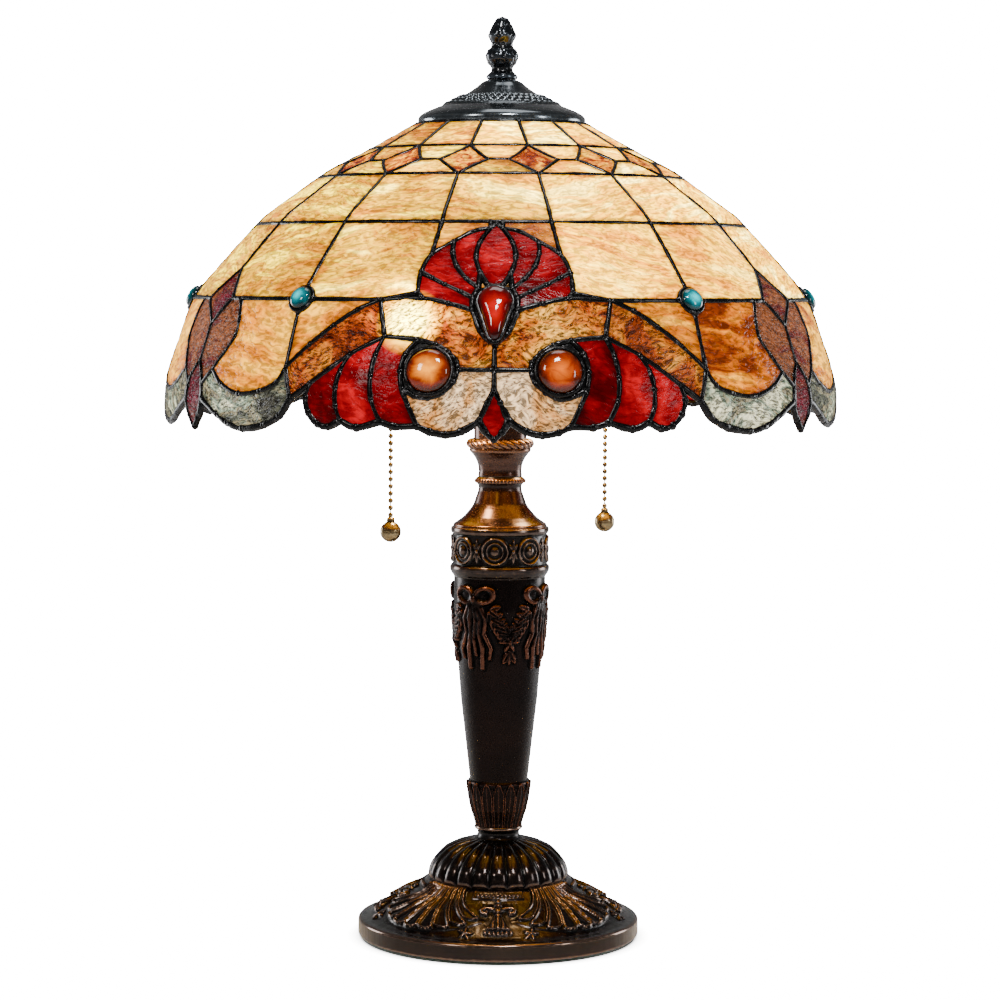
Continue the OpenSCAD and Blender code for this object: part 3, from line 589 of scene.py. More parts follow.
def plate_relief(a, r, z):
    """Fans of flutes, rosettes, a drop between scrolls and rows of beads."""
    h = np.zeros_like(a)
    top = z > 12.2
    da = wrap(a - 45, 90.0)
    q = np.clip((r - 43) / 31, 0, 1.1)
    spread, curl = 4.3 + 4.5 * q**1.6, 9 * q**2
    k = da / spread
    for _ in range(6):
        k -= (k * spread + (k / 4) ** 3 * curl - da) / (spread + 3 * k**2 / 64 * curl)
    index = np.clip(np.round(k), -4, 4)
    t = 2 * (k - index)
    tip = 75.2 - 0.62 * index**2 - 3.4 * (1 - np.sqrt(np.clip(1 - t**2, 0, 1)))
    side = (1 - np.abs(t)) * r * np.radians(spread) / 2
    d = np.minimum(side, (tip - r) * 0.9)
    h = np.maximum(h, (2.0 + 0.8 * q) * rim_profile(d, 0.55, 1.8) * (np.abs(k) < 4.5))
    under = np.minimum((4.7 - np.abs(k)) * 2.6, 75.6 - 0.5 * k**2 - r)
    h = np.maximum(h, 0.7 * smoothstep(0, 1.2, under))
    da = wrap(a, 90.0)
    x = r * np.radians(da)
    for side_x in (-19.5, 19.5):
        rho, psi = np.hypot(x - side_x, r - 74), np.arctan2(r - 74, x - side_x)
        petals = 4.9 * (0.7 + 0.3 * np.cos(5 * psi + 0.6))
        folds = 0.6 + 0.4 * np.abs(np.cos(2.5 * psi + 0.3))
        h = np.maximum(h, 1.7 * np.sqrt(np.clip(1 - (rho / petals) ** 2, 0, 1)) * folds)
        h = np.maximum(h, blob(x, r, side_x, 74, 1.3, 1.3, 2.2))
    for ox, oy, rx, ry, hh in (
        (0, 49.5, 1.7, 1.7, 1.8), (0, 52.6, 2.3, 1.5, 2.0), (0, 57, 3.2, 3.6, 2.6), (0, 61.3, 2.2, 1.4, 2.2),
    ):
        h = np.maximum(h, blob(x, r, ox, oy, rx, ry, hh))
    for s in (-1, 1):
        arm = [
            (0, 57), (4 * s, 55.6), (7.4 * s, 55.2), (9.8 * s, 57), (9.4 * s, 59.6), (7.2 * s, 60),
            (6.6 * s, 58.2),
        ]
        h = np.maximum(h, stroke(x, r, arm, 1.6, 1.1, 2.1))
    bell = 3.0 + 5.2 * np.clip((r - 61) / 11, 0, 1) ** 1.7
    d = np.minimum(bell - np.abs(x), np.minimum(72 - r, (r - 61.5) * 1.4))
    h = np.maximum(h, 2.3 * smoothstep(0, 1.4, d) * (0.8 + 0.2 * np.cos(x * 2.1)))
    for i in range(-3, 4):
        h = np.maximum(h, blob(x, r, i * 2.5, 73.4 - 0.05 * i * i, 1.0, 1.7, 1.7))
    bead = r * np.radians(wrap(a, 2.9))
    h = np.maximum(h, blob(bead, r, 0, 45.6, 1.05, 1.05, 1.5) * (np.abs(da) < 17))
    h = np.maximum(h, 0.6 * smoothstep(48, 47.3, r) * (np.abs(da) < 19))
    grit = waves(np.stack([a.ravel() * 1.1, r.ravel()], -1), 9, 3).reshape(a.shape)
    return np.where(top, h + 0.06 * grit, 0.05 * grit)


base_r, felt_top = box("base_plate")[1][0], box("felt_pad")[1][2]
dome_lo, dome_hi = box("base_dome")
cast("base_casting", "bronze", bronze, ("base_plate", "base_leaves", "base_palmettes"), [
    (base_r - 7, felt_top + 0.1), (base_r - 0.5, felt_top + 0.1), (base_r, felt_top + 0.9), (base_r, 10.8),
    (base_r - 0.9, 11.9), (base_r - 5, 12.6), (base_r - 9, 14), (base_r - 15, 18), (base_r - 25, 24.2),
    (base_r - 35, 28.8), (base_r - 42, dome_lo[2] + 0.3), (base_r - 47, dome_lo[2] + 0.6),
], 850, 0.6, plate_relief, 0.7)


def gadroons(a, r, z):
    """Rounded lobes with narrow valleys, which fade out toward the top and the foot."""
    t = wrap(a, 15.0) / 7.5
    depth = 2.6 * smoothstep(10, 30, r) * smoothstep(dome_lo[2], dome_lo[2] + 5, z)
    return depth * (np.sqrt(np.clip(1 - (0.985 * t) ** 2, 0, 1)) - 0.8)


cast("base_dome_cast", "bronze", bronze, ("base_dome",), [
    (38, dome_lo[2] - 0.6), (40.4, dome_lo[2] - 0.2), (41.6, dome_lo[2] + 1.4), (42.2, 37.5), (41.6, 41),
    (40.3, 44.5), (38.2, 47.5), (35.5, 50.5), (32, 53.6), (26, 56.6), (18, 59), (12.5, dome_hi[2]),
], 720, 0.6, gadroons, 1.4, worn=0.9)

ring_lo, ring_hi = box("dome_ring")
cup_lo, cup_hi = box("leaf_cup")
cast("ring_cast", "bronze", bronze, ("dome_ring",), above(
    ring_lo[2], (15.4, -0.6), (13.8, 0.2), (12.7, 2), (12.6, 3.6), (13.1, 4.9), (14.3, 5.4), (14.8, 6.4),
    (14.3, 7.5),
) + [(13.5, ring_hi[2] + 0.9)], 200, 0.3, None, 0.5)


LEAF_HALF = 11.25


def cup_leaves(a, r, z):
    """Sixteen upright leaves, and the tips of as many more behind the gaps between them."""
    h = np.full(a.shape, -0.5)
    top = cup_hi[2]
    for shift, tip, fall, high in ((0.0, top - 0.6, 9.5, 1.15), (LEAF_HALF, top - 3.5, 15.0, 0.5)):
        t = wrap(a + shift, 2 * LEAF_HALF) / LEAF_HALF
        outline = tip - fall * np.abs(t) ** 1.9
        d = np.minimum((1 - np.abs(t)) * r * np.radians(LEAF_HALF), (outline - z) * 0.5)
        rib = 0.35 * np.exp(-((t * 7) ** 2)) * smoothstep(0.6, 1.4, d)
        h = np.maximum(h, high * (rim_profile(d, 0.4, 1.1, 0.35) + rib) - 0.5)
    return h


cast("leaf_cup_cast", "bronze", column_bronze, ("leaf_cup",), [
    (13.2, cup_lo[2] - 0.4), (13.8, cup_lo[2] + 1.2), (14.1, cup_lo[2] + 3), (15, 73), (16.7, 78), (18.2, 85),
    (19, 91), (19.2, cup_hi[2] - 1.6), (18.2, cup_hi[2] - 0.2), (17.2, cup_hi[2] + 0.6),
], 640, 0.4, cup_leaves, 0.6)

column_lo = box("column")[0]
FLANK = [
    (17.4, column_lo[2] - 2), (17.6, column_lo[2]), (20.4, 121), (23.2, 145), (25.5, 174), (27.6, 200),
    (27.6, 219),
]
FLANK_Z, FLANK_R = [p[1] for p in FLANK], [p[0] for p in FLANK]
SPLIT = 160.0


def flank(z):
    """The column's radius at that height."""
    return float(np.interp(z, FLANK_Z, FLANK_R))


cast("column_shaft", "bronze", column_bronze, (), [*FLANK[:4], (flank(SPLIT), SPLIT)], 240, 1.0, None, 1.0)


def festoons(a, r, z):
    """Bows with loops and tails, and swags of leaves with a rosette between them."""
    x = r * np.radians(wrap(a + 32, 90.0))
    period = r.mean() * np.pi / 2
    h = np.zeros_like(a)
    for s in (-1, 1):
        out, up = x * s - 6.3, z - 209.6
        u, v = out * 0.94 + up * 0.34, up * 0.94 - out * 0.34
        loop = (np.hypot(u / 5.4, v / 4.2) - 1) * 4.6
        h = np.maximum(h, 2.7 * np.sqrt(np.clip(1 - (loop / 2.0) ** 2, 0, 1)))
        h = np.maximum(h, 1.2 * smoothstep(0.3, -1.4, loop))
        for lean, low, wide in ((1.0, 166, 2.3), (2.1, 172, 2.0)):
            tail = [
                (1.5 * s * lean, 204), (3.4 * s * lean, 196), (2.7 * s * lean, 187), (4.6 * s * lean, 178),
                (4.0 * s * lean, low),
            ]
            h = np.maximum(h, stroke(x, z, tail, wide, wide * 0.7, 2.3))
        for t in np.linspace(0.08, 0.96, 7):
            cx = s * (8.5 + t * (period / 2 - 10.0))
            cy = 204 - 20 * (1 - (1 - t) ** 2)
            for tilt in (-62, -8, 48):
                angle = (0 if s > 0 else 180) - s * (46 * (1 - t) + tilt)
                h = np.maximum(h, leaf(x, z, cx, cy, angle, 7.6, 2.5, 2.6 - 0.5 * abs(tilt) / 60))
            h = np.maximum(h, blob(x, z, cx, cy - 1.5, 1.5, 1.5, 2.5))
    h = np.maximum(h, blob(x, z, 0, 207.5, 3.2, 3.6, 3.4))
    h = np.maximum(h, stroke(x, z, [(0, 204), (0.9, 194), (-0.9, 184), (0.6, 174)], 2.0, 1.4, 2.2))
    mid = wrap(x - period / 2, period)
    rho, psi = np.hypot(mid, z - 182), np.arctan2(z - 182, mid)
    petals = 7.2 * (0.76 + 0.24 * np.cos(6 * psi))
    folds = 0.6 + 0.4 * np.abs(np.cos(3 * psi))
    h = np.maximum(h, 2.9 * np.sqrt(np.clip(1 - (rho / petals) ** 2, 0, 1)) * folds)
    h = np.maximum(h, blob(mid, z, 0, 182, 2.3, 2.3, 3.5))
    for s in (-1, 1):
        h = np.maximum(h, leaf(mid, z, 0, 177, -90 + 30 * s, 10, 2.6, 2.2))
    h = np.maximum(h, leaf(mid, z, 0, 178, -90, 13, 2.8, 2.4))
    grit = waves(np.stack([x.ravel(), z.ravel()], -1), 6, 5).reshape(a.shape)
    return h + 0.12 * grit * (h > 0.3)


cast("column_wreath", "bronze", column_bronze, ("column", "column_festoons"), [
    (flank(SPLIT - 0.5), SPLIT - 0.5), (25.5, 174), (27.6, 200), (27.6, 219.5),
], 640, 0.52, festoons, 0.8)

band_hi = box("medallion_band")[1]


def band_relief(a, r, z):
    """Ringed medallions with upright leaves between them."""
    inside = smoothstep(226.2, 227, z) * smoothstep(245.6, 244.8, z)
    x = 29 * np.radians(wrap(a + 6, 45.0))
    y = z - 236
    rho = np.hypot(x, y)
    h = 1.5 * np.exp(-(((rho - 7.7) / 0.8) ** 2)) + 1.1 * np.exp(-(((rho - 5.0) / 0.6) ** 2))
    h = np.maximum(h, 0.35 * smoothstep(8.4, 7.8, rho))
    h = np.maximum(h, blob(x, y, 0, 0, 3.0, 3.0, 1.7))
    gap = 29 * np.radians(wrap(a + 6 + 22.5, 45.0))
    for s in (-1, 1):
        for tilt, length in ((90, 7.0), (58, 5.0), (122, 5.0)):
            h = np.maximum(h, leaf(gap, y, 0, 0.4 * s, tilt * s, length, 1.0, 1.3))
    h = np.maximum(h, blob(gap, y, 0, 0, 1.4, 1.4, 1.6))
    return h * inside


cast("medallion_cast", "bronze", bronze, ("medallion_band", "medallions"), [
    (27.4, 218.6), (27.8, 219.6), (28.9, 221), (29.9, 223), (30.1, 224.8), (29.6, 226.2), (28.3, 227),
    (28.2, 231), (28.2, 241), (28.3, 245), (29.3, 245.8), (29.7, 247.2), (29.4, band_hi[2]),
    (28.6, band_hi[2] + 0.2),
], 640, 0.34, band_relief, 0.5)

neck_lo, neck_hi = box("neck")


def neck_beads(a, r, z):
    """Two fine grooves and a beaded ring."""
    h = -0.45 * np.exp(-(((z - 250.1) / 0.35) ** 2)) - 0.5 * np.exp(-(((z - 279.6) / 0.4) ** 2))
    return h + 0.45 * np.cos(np.radians(a) * 44) * np.exp(-(((z - 276.7) / 1.0) ** 4))


cast("neck_cast", "copper_bronze", copper_bronze, ("neck",), [
    (28.2, neck_lo[2] - 0.3), (28.6, neck_lo[2] + 0.4), (28.2, 250.8), (24.8, 253), (21.8, 255.4),
    (19.3, 258.2), (17.4, 260.6), (15.9, 263), (14.4, 267.4), (13.1, 271.2), (12.9, 273.4), (13.6, 275),
    (15, 275.8), (15.2, 276.8), (15, 278), (13.7, 279), (13.1, 281), (12.9, 283), (13.5, 287), (15.1, 290.6),
    (17.2, 293.4), (18.4, 294.6), (18.6, 295.8), (18.1, neck_hi[2] + 0.4),
], 300, 0.4, neck_beads, 0.8)

rope_lo, rope_hi = box("rope_collar")


def strands(a, r, z):
    """The strands of a rope, wound round the collar."""
    t = wrap(a * 26 / 360 + (z - rope_lo[2]) * 0.28, 1.0) * 2
    return 0.9 * (np.sqrt(np.clip(1 - (0.97 * t) ** 2, 0, 1)) - 0.6)


mid_z = (rope_lo[2] + rope_hi[2]) / 2
cast("rope_cast", "copper_bronze", copper_bronze, ("rope_collar",), [
    (17.6 + 2.5 * math.cos(t), mid_z + 2.6 * math.sin(t)) for t in np.linspace(-1.9, 1.9, 24)
], 520, 0.28, strands, 0.3)

sleeve_lo, sleeve_hi = box("sleeve")
cast("sleeve_cast", "copper_bronze", copper_bronze, ("sleeve",), [
    (15.6, sleeve_lo[2] - 0.4), (15.8, sleeve_lo[2] + 0.6), (15.8, sleeve_hi[2] - 12),
    (14.4, sleeve_hi[2] - 7.5), (12, sleeve_hi[2] - 3), (7.4, sleeve_hi[2] - 0.2), (5, sleeve_hi[2]),
], 160, 0.7, None, 1.2)

# ---- The shade's pattern: [degrees from a motif, mm down the dome] ----

SHAPE = np.array([
    (50, 491), (84, 472), (102, 463), (120, 450), (141, 435), (160, 414.5), (172, 401), (184, 386),
    (190.6, 367), (195.5, 353), (199, 342), (201, 330), (200.5, 311),
], float)
SHAPE_RUN = np.concatenate([[0], np.cumsum(np.hypot(*np.diff(SHAPE, axis=0).T))])


def smooth_dome():
    """The dome's profile with its corners eased, sampled finely against its length."""
    at = np.arange(-8, 262, 0.5)
    r = np.interp(at, SHAPE_RUN, SHAPE[:, 0])
    z = np.interp(at, SHAPE_RUN, SHAPE[:, 1])
    low, high = at < 0, at > SHAPE_RUN[-1]
    r[low] += at[low] * (SHAPE[1, 0] - SHAPE[0, 0]) / SHAPE_RUN[1]
    z[low] += at[low] * (SHAPE[1, 1] - SHAPE[0, 1]) / SHAPE_RUN[1]
    z[high] -= at[high] - SHAPE_RUN[-1]
    kernel = np.exp(-((np.arange(-24, 25) / 11.0) ** 2))
    kernel /= kernel.sum()
    for v in (r, z):
        v[:] = np.convolve(np.pad(v, 24, mode="reflect", reflect_type="odd"), kernel, "valid")
    return at, r, z


DOME_AT, DOME_R, DOME_Z = smooth_dome()
DOME_TR, DOME_TZ = np.gradient(DOME_R, DOME_AT), np.gradient(DOME_Z, DOME_AT)
TURN = -1.0


def on_dome(p, out=0.0):
    """Points and outward normals of the shade at [degrees, mm] points p, raised by out."""
    p = np.asarray(p, float)
    a, m = np.radians(p[:, 0] + TURN), p[:, 1]
    r, z = np.interp(m, DOME_AT, DOME_R), np.interp(m, DOME_AT, DOME_Z)
    tr, tz = np.interp(m, DOME_AT, DOME_TR), np.interp(m, DOME_AT, DOME_TZ)
    nr, nz = -tz / np.hypot(tr, tz), tr / np.hypot(tr, tz)
    normal = np.stack([nr * np.sin(a), -nr * np.cos(a), nz], -1)
    return np.stack([r * np.sin(a), -r * np.cos(a), z], -1) + normal * out, normal


MOTIFS, COLUMNS = 3, 15
MOTIF, COLUMN = 360 / MOTIFS, 360 / COLUMNS
TOP, TIPS, MIDDLE, BAND, FIELD, GEMS = 1.5, 33, 52, 68, 114, 171
DIAMOND, TIP_HALF, GEM_HALF, GEM_ROOM = 8.5, 3.5, 2.8, 9
CURVES = {
    "lotus": [(1.3, 119), (4.8, 121.5), (8.6, 129), (12.6, 139), (13.8, 152), (13.6, 166)],
    "petal0": [(1.3, 119), (3.3, 130), (3.8, 141), (2.8, 152), (1.2, 161)],
    "petal1": [(8.6, 129), (8.4, 138), (7.2, 148), (5.2, 156.5), (3, 163)],
    "petal2": [(13.8, 152), (11.5, 156), (9, 160.5), (6, 165.5), (3.9, 169.5)],
    "jewel": [(3.9, 177), (2.4, 189), (0, 197.5)],
    "top": [(3.9, 177), (8, 173.2), (12.5, 170), (20, 171)],
    "fall": [(20, 171), (24, 177.5), (28, 186.5), (32, 197.5), (36, 211)],
    "arch": [(18.3, 192.5), (12.5, 194.2), (9.5, 197), (7.3, 201.5), (6, 206.5), (5.7, 211)],
    "eye": [(12.5, 194.2), (14.4, 202), (15, 212), (14.5, 222), (13.4, 231), (12, 242)],
    "under_eye": [(5.7, 211), (6.3, 217.5), (8, 223.5), (10.3, 226.5), (12.5, 225.5), (14.5, 222)],
    "fan1": [(18.3, 192.5), (19.5, 203), (19.9, 215), (19.5, 228), (18, 240)],
    "fan2": [(24, 203), (25.3, 212), (25.8, 222), (25.6, 232), (24.8, 240)],
    "under": [(18.3, 192.5), (24, 203), (30.5, 219.5), (34.3, 228.5)],
    "tongue": [(52, 171), (50.6, 184), (50.4, 194), (52.2, 203.5), (54.5, 214)],
    "tongue_end": [(54.5, 214), (51, 222), (46, 227), (41, 225), (37.5, 220), (36, 211)],
    "drop": [(60, 209), (58, 217), (57, 225), (57, 233), (58.2, 241), (60, 247.5)],
    "scallop": [(57, 231), (52, 239.5), (49, 244), (45, 246.5), (40, 244), (36.5, 238.5), (34.3, 228.5)],
    "cheek_rim": [(12, 242), (10, 245), (7.5, 246.5), (5, 244.5), (2.2, 238), (1, 229), (0, 222)],
    "kite": [(0, 222), (1, 229), (2.2, 238), (1.2, 245), (0, 249)],
    "fan_rim_1": [(18, 240), (15.5, 242.5), (12, 242)],
    "fan_rim_2": [(24.8, 240), (22, 243.5), (18, 240)],
    "fan_rim_3": [(30.5, 219.5), (31.2, 228), (30.6, 236), (29, 242), (27, 243.5), (24.8, 240)],
}
C = CURVES


def back(curve):
    """The points in the opposite order."""
    return list(reversed(curve))


def both(half, about=0.0):
    """A closed outline from the half of it that starts and ends on its middle line."""
    return half + [(2 * about - a, m) for a, m in back(half)[1:-1]]


def trapezoid(a, b, c, d):
    """An outline that is 2a wide at b and 2c wide at d."""
    return [(-a, b), (a, b), (c, d), (-c, d)]


HALF_COLUMN = COLUMN / 2
COLUMN_PANES = [
    ("crown", trapezoid(HALF_COLUMN, TOP, HALF_COLUMN, TIPS)),
    ("crown", trapezoid(HALF_COLUMN, TIPS, TIP_HALF, MIDDLE)),
    ("crown", trapezoid(TIP_HALF, MIDDLE, HALF_COLUMN, BAND)),
    ("band", trapezoid(HALF_COLUMN, BAND, HALF_COLUMN, FIELD)),
]
DIAMOND_PANE = [(0, TIPS), (DIAMOND, MIDDLE), (0, BAND), (-DIAMOND, MIDDLE)]
MOTIF_PANES = [
    ("lotus", both([(0, 116), *C["petal0"], (0, 161.5)])), ("fans", both(C["kite"])),
    ("side_motifs", [(60, 149), (65, GEMS), (60, 186.5), (55, GEMS)]), ("side_motifs", both(C["drop"], 60)),
]
HALF_PANES = [
    ("field", [
        (12, FIELD), (36, FIELD), (36, GEMS - GEM_ROOM), (36 - GEM_HALF, GEMS), (20, GEMS),
        *back(C["lotus"][3:]),
    ]),
    ("field", [
        (36, FIELD), (60, FIELD), (60, 149), (55, GEMS), (36 + GEM_HALF, GEMS), (36, GEMS - GEM_ROOM),
    ]),
    ("corners", [(1.3, FIELD), (12, FIELD), (12.6, 139), *back(C["lotus"][:3])]),
    ("corners", [(36 - GEM_HALF, GEMS), (36, GEMS + GEM_ROOM), *back(C["fall"])]),
    ("lotus", C["lotus"][:3] + C["petal1"][1:] + back(C["petal0"][1:4])),
    ("lotus", C["lotus"][2:5] + C["petal2"][1:] + back(C["petal1"][1:])),
    ("lotus", C["lotus"][4:] + back(C["top"][:3]) + back(C["petal2"][1:])),
    ("ripple", C["top"] + C["arch"] + [(0, 211)] + back(C["jewel"][1:])),
    ("ripple", C["fall"] + back(C["under"])),
    ("cheeks", [(0, 211), *C["under_eye"], *C["eye"][4:], *C["cheek_rim"][1:]]),
    ("fans", [(12.5, 194.2), *C["fan1"], (15.5, 242.5), *back(C["eye"][1:])]),
    ("fans", C["under"][:2] + C["fan2"][1:] + [(22, 243.5)] + back(C["fan1"][1:])),
    ("fans", C["under"][1:3] + C["fan_rim_3"][1:5] + back(C["fan2"][1:])),
    ("tongues", [(36, GEMS + GEM_ROOM), (36 + GEM_HALF, GEMS), *C["tongue"], *C["tongue_end"][1:]]),
    ("scallops", back(C["tongue_end"]) + [(57.4, 223)] + C["scallop"]),
    ("side_motifs", [
        (52, GEMS), (55, GEMS), (60, 186.5), (60, 209), (58, 217), (57.4, 223), *back(C["tongue"][1:]),
    ]),
]


def key_of(p):
    """A point as a name that is the same for every outline that shares it."""
    return (round(p[0], 3), round(p[1], 3))


def catmull(p0, p1, p2, p3, n):
    """Points between p1 and p2 on the smooth curve through all four, in n steps."""
    t = np.arange(1, n)[:, None] / n
    p0, p1, p2, p3 = (np.array(p, float)[None] for p in (p0, p1, p2, p3))
    square, cube = 2 * p0 - 5 * p1 + 4 * p2 - p3, 3 * p1 - p0 - 3 * p2 + p3
    return 0.5 * (2 * p1 + (p2 - p0) * t + square * t**2 + cube * t**3)


def mm_of(p):
    """[degrees, mm] points as flat mm, sideways by their own radius."""
    p = np.asarray(p, float)
    return np.stack([np.radians(p[:, 0]) * np.interp(p[:, 1], DOME_AT, DOME_R), p[:, 1]], -1)


BENDS = {}
for curve in CURVES.values():
    for i in range(len(curve) - 1):
        before = curve[i - 1] if i else tuple(2 * np.array(curve[0]) - np.array(curve[1]))
        after = curve[i + 2] if i + 2 < len(curve) else tuple(2 * np.array(curve[-1]) - np.array(curve[-2]))
        steps = max(int(np.linalg.norm(np.diff(mm_of([curve[i], curve[i + 1]]), axis=0)) / 2.4), 2)
        BENDS[key_of(curve[i]), key_of(curve[i + 1])] = catmull(before, curve[i], curve[i + 1], after, steps)


def flipped(v, about):
    """A copy of v, mirrored about that angle unless it is None."""
    v = np.array(v, float)
    if about is not None:
        v[..., 0] = 2 * about - v[..., 0]
    return v


def between(p, q):
    """Points of the shared line from p to q, without its ends. Mirror images about 0 and 60 count."""
    for about in (None, 0.0, MOTIF / 2):
        a, b = key_of(flipped(p, about)), key_of(flipped(q, about))
        if (a, b) in BENDS:
            return flipped(BENDS[a, b], about)
        if (b, a) in BENDS:
            return flipped(BENDS[b, a][::-1], about)
    n = max(int(np.linalg.norm(np.diff(mm_of([p, q]), axis=0)) / 2.4), 1)
    t = np.arange(1, n)[:, None] / n
    return np.array(p, float)[None] * (1 - t) + np.array(q, float)[None] * t


def refined(outline):
    """The outline with its curves and long edges in small steps."""
    points = []
    for p, q in zip(outline, outline[1:] + outline[:1], strict=True):
        points.append(np.array([p], float))
        points.append(between(p, q))
    return np.concatenate(points)


def inside(points, polygon):
    """Which points lie inside the polygon."""
    x, y = points[:, 0:1], points[:, 1:2]
    px, py = polygon[:, 0][None], polygon[:, 1][None]
    qx, qy = np.roll(px, -1, 1), np.roll(py, -1, 1)
    crossing = (py > y) != (qy > y)
    at = px + (y - py) * (qx - px) / np.where(qy == py, 1e-9, qy - py)
    return (crossing & (x < at)).sum(1) % 2 == 1


def edge_distance(points, polygon):
    """Each point's distance from the nearest edge."""
    a, b = polygon, np.roll(polygon, -1, 0)
    d = b - a
    t = np.clip(((points[:, None] - a[None]) * d[None]).sum(2) / np.maximum((d * d).sum(1), 1e-9)[None], 0, 1)
    return np.linalg.norm(points[:, None] - a[None] - t[..., None] * d[None], axis=2).min(1)


def pane_mesh(outline, step=2.8):
    """One pane: its [degrees, mm] points, faces, and each point's distance from the edge and flat place."""
    rim = refined(outline)
    middle = rim.mean(0)
    scale = np.array([np.radians(1) * np.interp(middle[1], DOME_AT, DOME_R), 1.0])
    flat = (rim - middle) * scale
    lo, hi = flat.min(0), flat.max(0)
    gx, gy = np.meshgrid(np.arange(lo[0], hi[0], step), np.arange(lo[1], hi[1], step * 0.87))
    gx[1::2] += step / 2
    grid = np.stack([gx.ravel(), gy.ravel()], -1)
    grid = grid[inside(grid, flat)]
    grid = grid[edge_distance(grid, flat) > step * 0.55]
    every = np.concatenate([flat, grid])
    n = len(flat)
    edges = [(i, (i + 1) % n) for i in range(n)]
    verts, _, faces, *_ = geometry.delaunay_2d_cdt([Vector(p) for p in every], edges, [], 1, 1e-5)
    place = np.array([tuple(v) for v in verts])
    return place / scale + middle, faces, edge_distance(place, flat), place


GLOW_ABOVE = 22.0


def bulb_place(side):
    """The middle of a bulb's glow."""
    lo, hi = box(side + "_bulb_glass")
    return np.array([*((lo + hi)[:2] / 2), lo[2] + GLOW_ABOVE])


BULBS = [(bulb_place("left"), 1.0), (bulb_place("right"), 0.45)]
# The shade's brightest place, in degrees and mm down the dome.
HOT = [(-14.5, 184.0)]
EVEN_GLOW, NEAR_GLOW, NEAR_REACH = 0.34, 0.9, 95.0
HOT_GLOWS = ((5.5, 13), (1.1, 26))


def light_at(points, normals):
    """How much light comes through: an even glow, more near a bulb, and most at the hot spot."""
    out = np.full(len(points), EVEN_GLOW)
    for place, power in BULBS:
        away = points - place
        d = np.linalg.norm(away, axis=1)
        facing = np.clip((away * normals).sum(1) / d, 0, 1)
        out += power * NEAR_GLOW * facing * (NEAR_REACH / d) ** 2
    d = np.linalg.norm(points - on_dome(HOT)[0][0], axis=1)
    for strength, reach in HOT_GLOWS:
        out += strength * np.exp(-((d / reach) ** 2))
    return out


GLASS_LOW = -0.65
RIPPLES = {
    "crown": 0.1, "band": 0.12, "field": 0.14, "corners": 0.12, "lotus": 0.08, "ripple": 0.3, "cheeks": 0.28,
    "fans": 0.08, "tongues": 0.12, "scallops": 0.3, "side_motifs": 0.12, "diamonds": 0.3,
}
glass_pieces = {kind: Piece() for kind in RIPPLES}
pane_numbers = itertools.count(1)


def place_pane(kind, mesh, shift, mirror, hue=None):
    """Adds one pane to its kind, with its own tilt, tone and ripples."""
    number = next(pane_numbers)
    p, faces, rim, flat = mesh
    p = p.copy()
    if mirror:
        p[:, 0] = -p[:, 0]
    p[:, 0] += shift
    r = np.random.default_rng(number * 17 + 5)
    points, normals = on_dome(p, GLASS_LOW)
    height = RIPPLES[kind] * waves(points, 9 if RIPPLES[kind] > 0.2 else 16, number)
    height += 0.35 * smoothstep(0, 9, rim)
    tilt = r.uniform(-0.35, 0.35)
    c, s = math.cos(tilt), math.sin(tilt)
    u, v = flat[:, 0] * MM, flat[:, 1] * MM
    offset = r.uniform(0, 3, 3)
    flow = np.stack([u * c - v * s + offset[0], u * s + v * c + offset[1], np.full(len(u), offset[2])], -1)
    first = faces[0]
    n = np.cross(points[first[1]] - points[first[0]], points[first[2]] - points[first[0]])
    if n @ normals[first[0]] < 0:
        faces = [f[::-1] for f in faces]
    left = wrap(p[:, 0].mean() + TURN)
    # Painted light: panes toward the left of the front, where the brighter bulb is, take more of the golden
    # colours and those on the right fewer; each pane also gets a share by chance.
    gold = 0.65 * math.sin(math.radians(-left)) * float(smoothstep(150, 90, np.array(abs(left))))
    gold = gold + r.uniform(0.05, 0.75)
    tone = r.uniform(0.15, 0.85) if hue is None else hue
    glass_pieces[kind].add(
        points + normals * height[:, None], faces, flow=flow, tone=tone, gold=gold,
        rim=1 - smoothstep(1.6, 4.6, rim), lit=light_at(points, normals) * r.uniform(0.88, 1.12),
    )


for kind, outline in COLUMN_PANES:
    mesh = pane_mesh(outline)
    for k in range(COLUMNS):
        place_pane(kind, mesh, COLUMN * k, False)
mesh = pane_mesh(DIAMOND_PANE)
for k in range(COLUMNS):
    place_pane("diamonds", mesh, COLUMN * k + HALF_COLUMN, False)
for kind, outline in MOTIF_PANES:
    mesh = pane_mesh(outline)
    for k in range(MOTIFS):
        place_pane(kind, mesh, MOTIF * k, False)
for kind, outline in HALF_PANES:
    mesh = pane_mesh(outline)
    hue = 1.35 if kind == "side_motifs" else None
    for k in range(MOTIFS):
        place_pane(kind, mesh, MOTIF * k, False, hue)
        place_pane(kind, mesh, MOTIF * k, True, hue)
LOOKS = {
    "crown": ("cream_glass", cream_glass), "band": ("cream_glass", cream_glass),
    "field": ("cream_glass", cream_glass), "corners": ("orange_glass", orange_glass),
    "lotus": ("red_glass", red_glass), "ripple": ("brown_glass", brown_glass),
    "cheeks": ("brown_glass", cheek_glass), "fans": ("red_glass", red_glass),
    "tongues": ("orange_glass", orange_glass), "scallops": ("green_glass", green_glass),
    "side_motifs": ("maroon_glass", maroon_glass), "diamonds": ("amber_glass", amber_glass),
}
for kind, (slot_name, look) in LOOKS.items():
    glass_pieces[kind].build("panes_" + kind, "shade", slot_name, look, ("glass_" + kind,))

# ---- Seams ----


def corners_on(p, q, corners):
    """The corners that lie on the straight line from p to q, in order."""
    a, b = np.array(p, float), np.array(q, float)
    length = np.linalg.norm(b - a)
    on = []
    for c in corners:
        v = np.array(c) - a
        t = v @ (b - a) / length**2
        if 0.02 < t < 0.98 and np.linalg.norm(v - t * (b - a)) < 0.25:
            on.append((t, c))
    return [c for _, c in sorted(on)]


